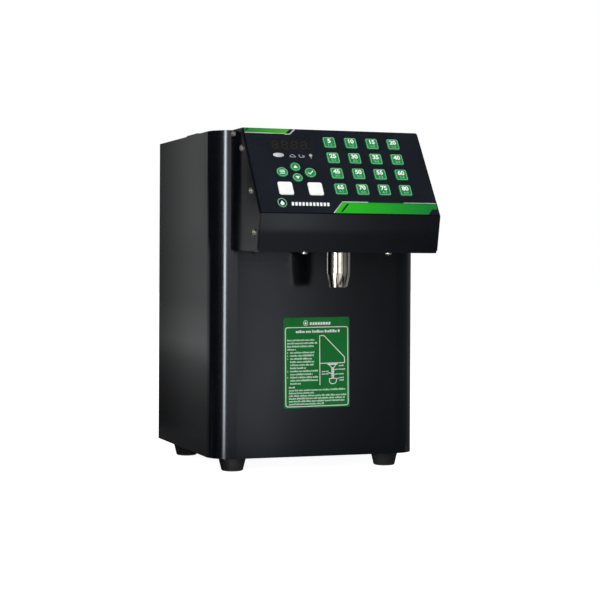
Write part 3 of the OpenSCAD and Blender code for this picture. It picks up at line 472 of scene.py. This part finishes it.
def key_marks():
    """The pale outline and the numbers on the sixteen portion keys."""
    low, high = KEY_FACE - INK_ROOT, KEY_FACE + INK_T
    for i in range(KEY_ROWS * KEY_COLUMNS):
        row, col = divmod(i, KEY_COLUMNS)
        x, v = FIRST_KEY[0] + col * KEY_PITCH[0], FIRST_KEY[1] + row * KEY_PITCH[1]
        amount = PORTION * (i + 1)
        marks = Sheet(on_panel)
        marks.frame(round_rect(x, v, KEY_W - 1.2, KEY_H - 1.2, KEY_R - 0.6),
                    round_rect(x, v, KEY_W - 2.8, KEY_H - 2.8, KEY_R - 1.2), low, high, 0)
        marks.text(str(amount), x, v - 2.3, 8.4, low, high, 1, bold=0.30)
        marks.text(f"{row + 1}-{col + 1}", x, v + 3.9, 4.6, low, high, 0, bold=0.10)
        marks.finish(f"marks_key_{amount}", f"key_{amount}", "white_key", PALE_GREEN, WHITE_INK)


def round_key_marks():
    """Outlines and plain signs on the four round keys."""
    low, high = KEY_FACE - INK_ROOT, KEY_FACE + INK_T
    for name, x, v, r in ROUND_KEYS:
        marks = Sheet(on_panel)
        marks.frame(ellipse(x, v, r - 0.5, r - 0.5), ellipse(x, v, r - 1.2, r - 1.2), low, high, 0)
        if name == "key_up":
            marks.prism([(x, v - 2.5), (x + 2.6, v + 1.9), (x - 2.6, v + 1.9)], low, high, 1)
        elif name == "key_down":
            marks.prism([(x, v + 2.5), (x + 2.6, v - 1.9), (x - 2.6, v - 1.9)], low, high, 1)
        elif name == "key_menu":
            for level in (-2.2, 0, 2.2):
                marks.prism(round_rect(x, v + level, 6.4, 1.0, 0.4, 3), low, high, 1)
        else:
            for shape in stroke([(x - 3.2, v + 0.2), (x - 0.8, v + 2.4), (x + 3.4, v - 2.4)], 1.1):
                marks.prism(shape, low, high, 1)
        marks.finish(f"marks_{name}", name, "white_key", PALE_GREEN, WHITE_INK)


# ---------------------------------------------------------------- the panel's print

DIGITS = 4
DIGIT_W, DIGIT_H, BAR_T = 8.2, 12.6, 1.7
DIGIT_PITCH = 12.1
FIRST_DIGIT = (-81.6, 31.6)
FIRST_DOT = (-71.6, 31.0)
DOT_R = 0.8


def segments(w, h, t):
    """The seven bars of a digit, t wide, whose lower left corner is the origin of a plane with y up."""
    lean = 0.1
    gap = 0.25 * t
    half = t / 2

    def bar(x0, y0, x1, y1):
        if x1 - x0 > y1 - y0:
            mid = (y0 + y1) / 2
            points = [(x0, mid), (x0 + half, y0), (x1 - half, y0), (x1, mid), (x1 - half, y1), (x0 + half, y1)]
        else:
            mid = (x0 + x1) / 2
            points = [(mid, y0), (x1, y0 + half), (x1, y1 - half), (mid, y1), (x0, y1 - half), (x0, y0 + half)]
        return [(x + lean * y, y) for x, y in points]

    bars = []
    for level in (0, h / 2 - half, h - t):
        bars.append(bar(gap + half, level, w - gap - half, level + t))
    for side in (0, w - t):
        for base in (half, h / 2):
            bars.append(bar(side, base + gap, side + t, base + h / 2 - half - gap))
    return bars


def display_digits():
    """The unlit segments and points of the display."""
    low, high = WINDOW_FACE - INK_ROOT, WINDOW_FACE + SEGMENT_T
    digits = Sheet(on_panel)
    for i in range(DIGITS):
        shift = DIGIT_PITCH * i
        for outline in segments(DIGIT_W, DIGIT_H, BAR_T):
            digits.prism([(FIRST_DIGIT[0] + shift + x, FIRST_DIGIT[1] - y) for x, y in outline], low, high)
        digits.prism(ellipse(FIRST_DOT[0] + shift, FIRST_DOT[1], DOT_R, DOT_R, 12), low, high)
    digits.finish("display_digits", "case", "display", SEGMENT)


def panel_print():
    """The strips, their trim and slashes, the icons and the plain mark on the membrane."""
    low, high = OVERLAY_T - INK_ROOT, OVERLAY_T + INK_T
    top = Sheet(on_panel)
    top.prism([(PANEL_LEFT, 1.1), (-53.0, 1.1), (-59.6, 7.6), (PANEL_LEFT, 7.6)], low, high)
    top.finish("strip_top_print", "case", "overlay", STRIP_TOP)
    bottom = Sheet(on_panel)
    bottom.prism([(-8.0, 109.6), (PANEL_RIGHT, 109.6), (PANEL_RIGHT, 117.8), (104.9, 117.8), (99.6, 123.8),
                  (99.6, PANEL_BOTTOM), (-21.4, PANEL_BOTTOM)], low, high)
    bottom.finish("strip_bottom_print", "case", "overlay", STRIP_BOTTOM)

    trim = Sheet(on_panel)
    over = high + TRIM_LIFT
    for line, width in (([(-47.6, 1.1), (-55.4, 8.8), (-61.5, 8.8)], 1.5),
                        ([(-60, 8.1), (PANEL_LEFT, 8.1)], 0.9),
                        ([(-22.4, PANEL_BOTTOM - 0.1), (-8.4, 108.9), (24, 108.9)], 1.1),
                        ([(70, 108.9), (PANEL_RIGHT, 108.9)], 0.8)):
        for shape in stroke(line, width):
            trim.prism(shape, low, over)
    trim.finish("strip_trim", "case", "overlay", SILVER_INK)

    slashes = Sheet(on_panel)
    for x, v, wide, run, drop in ((-53.6, 1.1, 3.0, 7.3, 7.3), (-107.4, 1.1, 2.2, 4.2, 4.4),
                                  (-3.4, 111.7, 2.8, 10.6, 12.2)):
        slashes.prism([(x, v), (x + wide, v), (x + wide - run, v + drop), (x - run, v + drop)], low, over)
    slashes.finish("strip_slashes", "case", "overlay", BLACK_INK)

    mark = Sheet(on_panel)
    mark.frame(ellipse(-84, 111.6, 5.6, 6.4), ellipse(-84, 111.6, 4.7, 5.5), low, high, 0)
    mark.prism(droplet(-84, 112.8, 2.5), low, high, 1)
    for i in range(11):
        x = -73 + 4.4 * i
        mark.prism([(x + 0.8, 110.6), (x + 3.6, 110.6), (x + 2.8, 115.6), (x, 115.6)], low, high, 1)
    mark.finish("panel_mark", "case", "overlay", PALE_GREEN, WHITE_INK)

    icons = Sheet(on_panel)
    cup = [(-61.6, 43.6), (-60.4, 41.2), (-58.6, 40.0), (-56.8, 40.2), (-55.4, 41.6), (-54.2, 43.6),
           (-61.6, 43.6)]
    flame = [(-48.6, 39.6), (-49.8, 41.4), (-49.0, 43.4), (-46.4, 43.9), (-43.6, 43.4), (-42.8, 41.4),
             (-44.2, 42.0), (-45.4, 40.4)]
    bulb = [(-34.7, 42.6), (-34.7, 45.4)]
    for line in (cup, flame, bulb):
        for shape in stroke(line, 0.8):
            icons.prism(shape, low, high, 0)
    icons.prism(ellipse(-34.7, 40.4, 2.1, 2.1, 20), low, high, 0)
    icons.finish("panel_icons", "case", "overlay", GREY_INK)


def badge():
    """A domed silver oval with a fine inner line."""
    cx, cv, rx, ry, steps = -75.4, 41.1, 6.9, 3.15, 36
    mesh = bmesh.new()
    rings = []
    for share, lift in ((1.0, -0.1), (1.0, 0.25), (0.9, 0.45), (0.78, 0.42), (0.72, 0.5), (0.4, 0.62)):
        rings.append([mesh.verts.new(on_panel(x, v, OVERLAY_T + lift))
                      for x, v in ellipse(cx, cv, rx * share, ry * share, steps)])
    data = skinned("badge", mesh, rings)
    data.set_sharp_from_angle(angle=math.radians(50))
    piece("badge", data, "case", "screw", SILVER_INK)


# ---------------------------------------------------------------- the label's print

def text_row(sheet, x0, x1, y, height, seed, paint):
    """A line of print that says nothing: groups of small upright blocks of uneven height.

    The seed starts a fixed row of numbers, which sets the words' lengths and the blocks' sizes.
    """
    x = x0
    k = seed
    in_word = 0
    while x < x1 - 0.5 * height:
        k = (k * 73 + 41) % 101
        if in_word == 0:
            in_word = 3 + k % 5
            x += 0.35 * height
        tall = height * (0.72 if k % 3 else 1.0)
        w = height * (0.38 + 0.22 * (k % 4) / 3)
        foot = y - height / 2
        sheet.prism(rect(x, foot, x + w, foot + tall), LABEL_T - LABEL_INK_ROOT, LABEL_T + INK_T, paint)
        x += w + 0.2 * height
        in_word -= 1


# The label's lines of print: where each line ends, the highest line, and the step down to the next
LIST_ENDS = (-3.2, 0.2, -3.6, -28.2, -2.6, -3.2, -6.4, -2.6, -3.7, -14.7, 1.6, -6.4, 1.6, 1.6, -20.8)
LIST_TOP, LIST_STEP = 28.3, 3.83
LIST_LEFT, ITEM_LEFT = -39.5, -35.7
FIRST_ITEM = 4
NUMBERED = (4, 5, 6, 10, 12)
NOTE_ENDS = (37, -3.6, 39.2, 37.5, 37, 10)
NOTE_TOP, NOTE_STEP = -33.7, 3.4
NOTE_LEFT = -37.6


def label_print():
    """The border, the plain mark, the lines of print and the outline drawing on the label."""
    low, high = LABEL_T - LABEL_INK_ROOT, LABEL_T + INK_T
    ink = Sheet(on_label)
    ink.frame(round_rect(0.1, -5, 83.2, 98.6, 3.2), round_rect(0.1, -5, 81.4, 96.8, 2.4), low, high, 0)
    mark_x, mark_y = -14.5, 49.2
    ink.frame(ellipse(mark_x, mark_y, 3.0, 3.4, 24), ellipse(mark_x, mark_y, 2.4, 2.8, 24), low, high, 0)
    upright = [(x, 2 * mark_y - y) for x, y in droplet(mark_x, mark_y + 0.4, 1.3)]
    ink.prism(upright[::-1], low, high, 0)
    for i in range(8):
        x = -9.2 + 3.5 * i
        ink.prism([(x, 46.7), (x + 2.4, 46.7), (x + 3.1, 50.1), (x + 0.7, 50.1)], low, high, 0)
    text_row(ink, -28.4, 29.2, 38.8, 3.4, 5, 0)
    for i, end in enumerate(LIST_ENDS):
        y = LIST_TOP - LIST_STEP * i
        text_row(ink, LIST_LEFT if i < FIRST_ITEM else ITEM_LEFT, end, y, 2.2, 11 + i, 1)
        if i in NUMBERED:
            text_row(ink, LIST_LEFT, -37.8, y, 1.9, 3, 1)
    text_row(ink, NOTE_LEFT, -28, -30, 1.9, 17, 0)
    for i, end in enumerate(NOTE_ENDS):
        text_row(ink, NOTE_LEFT, end, NOTE_TOP - NOTE_STEP * i, 2.1, 31 + i, 1)
    ink.finish("label_print", "case", "label", WHITE_INK, PALE_INK)

    drawing = Sheet(on_label)
    lines = [
        [(3.9, -28.2), (3.9, 33.2), (9.5, 33.4), (36.6, 6.0), (36.9, -1.1), (3.9, -1.1)],
        [(16.4, -3.3), (19.2, -6.6)], [(25.1, -3.3), (22.6, -6.6)],
        [(16.5, -20.3), (25.8, -20.3), (25.8, -24), (23.5, -26.8), (18.7, -26.8), (16.5, -24), (16.5, -20.3)],
        [(23, -9.6), (28, -8.9)], [(23, -15.4), (28, -14.7)], [(26, -21), (29, -20)], [(15, -13), (19, -14)],
    ]
    for line in lines:
        for shape in stroke(line, 0.9):
            drawing.prism(shape, low, high, 0)
    drawing.prism(rect(14.2, -3.3, 27.3, -1.9), low, high, 0)
    drawing.prism(rect(19.3, -19.3, 22.6, -6.6), low, high, 0)
    for i in range(5):
        drawing.prism(rect(20.2, -17.9 + 2.3 * i, 21.7, -17.1 + 2.3 * i), high, high + TRIM_LIFT, 1)
    for x0, x1, y in ((28.6, 36, -4.4), (28.4, 38.2, -8.9), (28.4, 36, -14.7), (29.4, 36, -19.3),
                      (29.4, 36, -22.4), (6, 15.4, -11.2), (6, 15, -14.3)):
        text_row(drawing, x0, x1, y, 1.7, 7 + int(x1), 0)
    drawing.finish("label_drawing", "case", "label", WHITE_INK, LABEL_GREEN)


def spring():
    """The wound spring that presses the ball up, in place of its plain sleeve."""
    low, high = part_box("valve_spring")
    centre = (low + high) / 2
    wire = 0.4 * MM
    radius = (high.x - low.x) / 2 - wire
    turns, steps, sides = 6, 28, 10
    z0, z1 = low.z + wire, high.z - wire
    mesh = bmesh.new()
    rings = []
    total = turns * steps
    for k in range(total + 1):
        a = 2 * math.pi * k / steps
        # The first and the last turn lie flat
        share = min(max((k - steps) / (total - 2 * steps), 0), 1)
        out = Vector((math.cos(a), math.sin(a), 0))
        middle = Vector((centre.x, centre.y, z0 + (z1 - z0) * share)) + radius * out
        ring = []
        for i in range(sides):
            b = 2 * math.pi * i / sides
            ring.append(mesh.verts.new(middle + wire * (math.cos(b) * out + math.sin(b) * Vector((0, 0, 1)))))
        rings.append(ring)
    data = skinned("wound_spring", mesh, rings)
    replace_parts(piece("wound_spring", data, "nozzle", "nozzle_steel", NOZZLE), "valve_spring")


key_marks()
round_key_marks()
display_digits()
panel_print()
badge()
label_print()
spring()


# ---------------------------------------------------------------- studio

# Where the camera stands, in metres, which way it looks and how it is tipped, in degrees
EYE = Vector((-0.69642, -1.966747, 0.255483))
HEADING = -19.552
ROLL = 0.279
LENS = 97.52
SENSOR = 36
LENS_SHIFT = -0.0596

# The front wall, and where the camera's mirror image stands behind it
FRONT_Y = -0.074
EYE_BEHIND = Vector((EYE.x, 2 * FRONT_Y - EYE.y, EYE.z))
# The axis of the case's rounded left front corner
CORNER = Vector((-0.1, -0.044, 0))

# The world's light on surfaces, and how bright the floor looks close to the object; both are 1 where
# the background is white
AMBIENT = 0.35
FLOOR_NEAR = 0.95

# How bright the room is round the rounded corner (azimuth), and across the front wall (x on the wall)
ROUND_CORNER = ((96, 0.30), (112, 0.30), (118, 0.01), (184, 0.01), (195, 0.05), (205, 0.15), (216, 0.28),
                (221, 1.6), (224, 19.0), (230, 19.0), (233, 2.0), (238, 1.05), (400, 1.1))
ACROSS_FRONT = ((-0.10, 1.5), (-0.085, 1.7), (-0.055, 1.15), (-0.03, 0.75), (-0.01, 0.55), (0.05, 0.26),
                (0.11, 0.17), (0.30, 0.16))
# How that changes with height, in front and round the corner
UP_THE_FRONT = ((0.25, 1.0), (0.30, 0.5), (0.34, 0.3))
UP_THE_CORNER = ((0.1, 0.85), (0.25, 1.1), (1.0, 1.3))
# The room to the right of the object
RIGHT_OF = 0.3
RIGHT_LEVEL = 0.2
# The room above the object, by height
OVERHEAD_FROM = 0.7
OVERHEAD = ((1.3, 0.3), (1.9, 0.10))
# The room card's outline, as distance from the object and height
ROOM_PROFILE = ((1.75, 0.002), (1.75, 0.1), (1.75, 0.24), (1.75, 0.27), (1.75, 0.30), (1.75, 0.34), (1.75, 0.65),
                (1.75, 0.75), (1.75, 1.2), (1.7, 1.7), (1.2, 2.1), (0.6, 2.2), (0.02, 2.2))
ROOM_START = 60

# The mirrored floor: its rings, and its share of the room's brightness by distance from the corner
FLOOR_CARD_Z = 0.0015
FLOOR_REACHES = (0.01, 0.1, 0.2, 0.28, 0.4, 0.6, 0.9, 1.3, 1.75)
FLOOR_SHARE = ((0.12, 0.2), (0.3, 0.48), (0.6, 0.65), (1.2, 0.9))
FLOOR_LEFT_LEVEL = 0.05

# What the head's short front mirrors, by x
HEAD_ACROSS = ((-0.114, 0.36), (-0.05, 0.30), (0.0, 0.24), (0.05, 0.17), (0.114, 0.10))

# What the left wall mirrors by height and by depth (y), and the same for the head's left plate
SIDE_CARD_X = -0.22
WALL_HEIGHT = ((0.0, 0.25), (0.02, 0.25), (0.05, 0.33), (0.08, 0.50), (0.11, 0.78), (0.128, 1.25), (0.141, 1.5),
               (0.155, 1.4), (0.172, 1.3), (0.20, 1.05), (0.268, 1.0), (0.313, 1.12), (0.40, 1.15), (0.9, 0.8))
WALL_DEPTH = ((0.205, 0.01), (0.225, 0.275), (0.30, 0.268), (0.35, 0.235), (0.40, 0.178), (0.45, 0.134),
              (0.50, 0.088), (0.55, 0.064), (0.8, 0.05), (1.2, 0.05))
PLATE_HEIGHT = ((0.22, 0.24), (0.306, 0.23), (0.325, 0.17), (0.345, 0.09), (0.372, 0.022), (0.40, 0.008))
PLATE_DEPTH = ((0.12, 1.1), (0.17, 1.0), (0.20, 0.6), (0.215, 0.4), (0.222, 0.0))
# More rows and columns of points on that card, where its brightness bends
MORE_HEIGHTS = (0.22, 0.24, 0.29, 0.306, 0.325, 0.345, 0.372)
MORE_DEPTHS = (0.0, 0.015, 0.03, 0.08, 0.1, 0.12, 0.15, 0.17, 0.19, 0.198, 0.211, 0.217)


def place_camera():
    data = bpy.data.cameras.new("camera")
    data.lens = LENS
    data.sensor_width = SENSOR
    data.shift_y = LENS_SHIFT
    camera = bpy.data.objects.new("camera", data)
    bpy.context.scene.collection.objects.link(camera)
    level = Matrix.Rotation(math.radians(HEADING), 4, "Z") @ Matrix.Rotation(math.radians(90), 4, "X")
    tipped = level @ Matrix.Rotation(math.radians(ROLL), 4, "Z")
    camera.matrix_world = Matrix.Translation(EYE) @ tipped
    bpy.context.scene.camera = camera


def aim(holder, place, target):
    holder.location = place
    holder.rotation_mode = "QUATERNION"
    holder.rotation_quaternion = (Vector(target) - Vector(place)).to_track_quat("-Z", "Y")


def around(azimuth, distance, height):
    """A place round the object; azimuth 270 is straight in front and 180 is its left."""
    a = math.radians(azimuth)
    return Vector((distance * math.cos(a), distance * math.sin(a), height))


def softbox(name, place, target, width, height, radiance):
    """A soft light that reflections don't show; the studio cards are what they show."""
    data = bpy.data.lights.new(name, "AREA")
    data.shape = "RECTANGLE"
    data.size = width
    data.size_y = height
    data.energy = radiance * math.pi * width * height
    holder = bpy.data.objects.new(name, data)
    bpy.context.scene.collection.objects.link(holder)
    holder.visible_camera = False
    holder.visible_glossy = False
    aim(holder, place, target)


def plain_shader(name):
    """An empty material with its output."""
    material = bpy.data.materials.new(name)
    material.use_nodes = True
    tree = material.node_tree
    tree.nodes.clear()
    return material, tree, tree.nodes.new("ShaderNodeOutputMaterial")


def seen_background(tree):
    """1 for camera, glossy and transmission rays, 0 for the light that falls on surfaces."""
    path = tree.nodes.new("ShaderNodeLightPath")
    total = path.outputs["Is Camera Ray"]
    for name in ("Is Glossy Ray", "Is Transmission Ray"):
        top = tree.nodes.new("ShaderNodeMath")
        top.operation = "MAXIMUM"
        tree.links.new(total, top.inputs[0])
        tree.links.new(path.outputs[name], top.inputs[1])
        total = top.outputs[0]
    return total


def white_world():
    """White where it is seen, dimmer as a light."""
    world = bpy.data.worlds.new("studio")
    bpy.context.scene.world = world
    world.use_nodes = True
    tree = world.node_tree
    back = tree.nodes["Background"]
    back.inputs["Color"].default_value = (1, 1, 1, 1)
    level = tree.nodes.new("ShaderNodeMapRange")
    level.inputs["To Min"].default_value = AMBIENT
    level.inputs["To Max"].default_value = 1.0
    tree.links.new(seen_background(tree), level.inputs["Value"])
    tree.links.new(level.outputs["Result"], back.inputs["Strength"])


def floor():
    """A pale floor that takes the shadow and runs out into the white background."""
    mesh = bmesh.new()
    bmesh.ops.create_grid(mesh, x_segments=2, y_segments=2, size=12)
    data = bpy.data.meshes.new("floor")
    mesh.to_mesh(data)
    mesh.free()
    made = bpy.data.objects.new("floor", data)
    bpy.context.scene.collection.objects.link(made)
    made.location.z = -0.0002
    material, tree, output = plain_shader("pale_floor")
    diffuse = tree.nodes.new("ShaderNodeBsdfDiffuse")
    diffuse.inputs["Color"].default_value = (0.72, 0.72, 0.72, 1)
    glow = tree.nodes.new("ShaderNodeEmission")
    both = tree.nodes.new("ShaderNodeAddShader")
    coords = tree.nodes.new("ShaderNodeTexCoord")
    reach = tree.nodes.new("ShaderNodeVectorMath")
    reach.operation = "LENGTH"
    rise = tree.nodes.new("ShaderNodeMapRange")
    rise.interpolation_type = "SMOOTHSTEP"
    rise.inputs["From Min"].default_value = 0.25
    rise.inputs["From Max"].default_value = 1.3
    rise.inputs["To Min"].default_value = FLOOR_NEAR
    rise.inputs["To Max"].default_value = 1.0
    level = tree.nodes.new("ShaderNodeMath")
    level.operation = "MULTIPLY"
    tree.links.new(coords.outputs["Object"], reach.inputs[0])
    tree.links.new(reach.outputs["Value"], rise.inputs["Value"])
    tree.links.new(rise.outputs["Result"], level.inputs[0])
    tree.links.new(seen_background(tree), level.inputs[1])
    tree.links.new(level.outputs[0], glow.inputs["Strength"])
    tree.links.new(diffuse.outputs[0], both.inputs[0])
    tree.links.new(glow.outputs[0], both.inputs[1])
    tree.links.new(both.outputs[0], output.inputs["Surface"])
    data.materials.append(material)


def along(table, x):
    """A value read off a table of (x, value) rows, straight between rows."""
    if x <= table[0][0]:
        return table[0][1]
    for (x0, v0), (x1, v1) in zip(table, table[1:]):
        if x <= x1:
            return v0 + (v1 - v0) * (x - x0) / (x1 - x0)
    return table[-1][1]


def card(name, rows, level):
    """A studio card that only reflections see, as a grid of points; level gives how bright a point is."""
    mesh = bmesh.new()
    grid = [[mesh.verts.new(point) for point in row] for row in rows]
    for a, b in zip(grid, grid[1:]):
        for i in range(len(a) - 1):
            mesh.faces.new((a[i], a[i + 1], b[i + 1], b[i]))
    data = bpy.data.meshes.new(name)
    mesh.to_mesh(data)
    mesh.free()
    shine = data.attributes.new("level", "FLOAT", "POINT")
    for vert in data.vertices:
        shine.data[vert.index].value = level(vert.co)
    made = bpy.data.objects.new(name, data)
    bpy.context.scene.collection.objects.link(made)
    made.visible_camera = False
    made.visible_diffuse = False
    made.visible_shadow = False
    material, tree, output = plain_shader(name)
    glow = tree.nodes.new("ShaderNodeEmission")
    source = tree.nodes.new("ShaderNodeAttribute")
    source.attribute_name = "level"
    tree.links.new(source.outputs["Fac"], glow.inputs["Strength"])
    tree.links.new(glow.outputs[0], output.inputs["Surface"])
    data.materials.append(material)


def room_level(place):
    """The room's brightness at a point: where on the case the camera sees that point mirrored decides it."""
    share = (EYE_BEHIND.y - FRONT_Y) / (EYE_BEHIND.y - place.y)
    x = EYE.x + (place.x - EYE.x) * share
    if place.y < FRONT_Y and x > CORNER.x:
        return along(ACROSS_FRONT, x) * along(UP_THE_FRONT, place.z)
    azimuth = math.degrees(math.atan2(place.y - CORNER.y, place.x - CORNER.x)) % 360
    if azimuth < 90 or place.x > RIGHT_OF:
        return RIGHT_LEVEL
    return along(ROUND_CORNER, azimuth) * along(UP_THE_CORNER, place.z)


def room_card():
    """The room round the backdrop: a tall light to the left, grey in front, dark to the right and above."""
    azimuths = [ROOM_START + i for i in range(361)]

    def level(place):
        return room_level(place) if place.z < OVERHEAD_FROM else along(OVERHEAD, place.z)

    rows = [[around(a, distance, height) for a in azimuths] for distance, height in ROOM_PROFILE]
    card("room_card", rows, level)


def floor_card():
    """The floor as the case mirrors it, dimmer towards the object."""
    def level(place):
        reach = math.hypot(place.x - CORNER.x, place.y - CORNER.y)
        if place.x < -0.13 and place.y > 0:
            return FLOOR_LEFT_LEVEL
        return room_level(place) * along(FLOOR_SHARE, reach)

    rows = [[around(i, distance, FLOOR_CARD_Z) for i in range(361)] for distance in FLOOR_REACHES]
    card("floor_card", rows, level)


def head_card():
    """A dim card flat at the camera's height, which only the leaning short front of the head mirrors."""
    def level(place):
        return along(HEAD_ACROSS, place.x)

    rows = [[Vector((-0.16 + 0.02 * i, y, EYE.z)) for i in range(21)] for y in (-0.19, -0.28)]
    card("head_card", rows, level)


def side_card():
    """A near card beside the left wall; its brightness over its height and depth shows on the wall."""
    heights = sorted([height for height, share in WALL_HEIGHT] + list(MORE_HEIGHTS))
    depths = sorted([depth for depth, share in WALL_DEPTH] + list(MORE_DEPTHS))
    wall_start = 0.225

    def level(place):
        # Below the head the rounded corner mirrors the card's near part, which stays lit there
        below_head = place.z < 0.285 and place.y > 0.02
        depth = max(place.y, wall_start) if below_head else place.y
        wall = along(WALL_HEIGHT, place.z) * along(WALL_DEPTH, depth)
        plate = along(PLATE_HEIGHT, place.z) * along(PLATE_DEPTH, place.y)
        return max(wall, plate) if place.y > 0.08 and place.z > 0.2 else wall

    card("side_card", [[Vector((SIDE_CARD_X, y, z)) for y in depths] for z in heights], level)


place_camera()
white_world()
floor()
softbox("strip_light", around(238, 1.65, 0.72), (0, 0, 0.25), width=0.26, height=1.35, radiance=14.0)
softbox("top_light", around(265, 0.75, 1.6), (0, -0.1, 0.3), width=1.0, height=0.8, radiance=3.4)
room_card()
floor_card()
head_card()
side_card()
bpy.context.scene.view_settings.view_transform = "Standard"
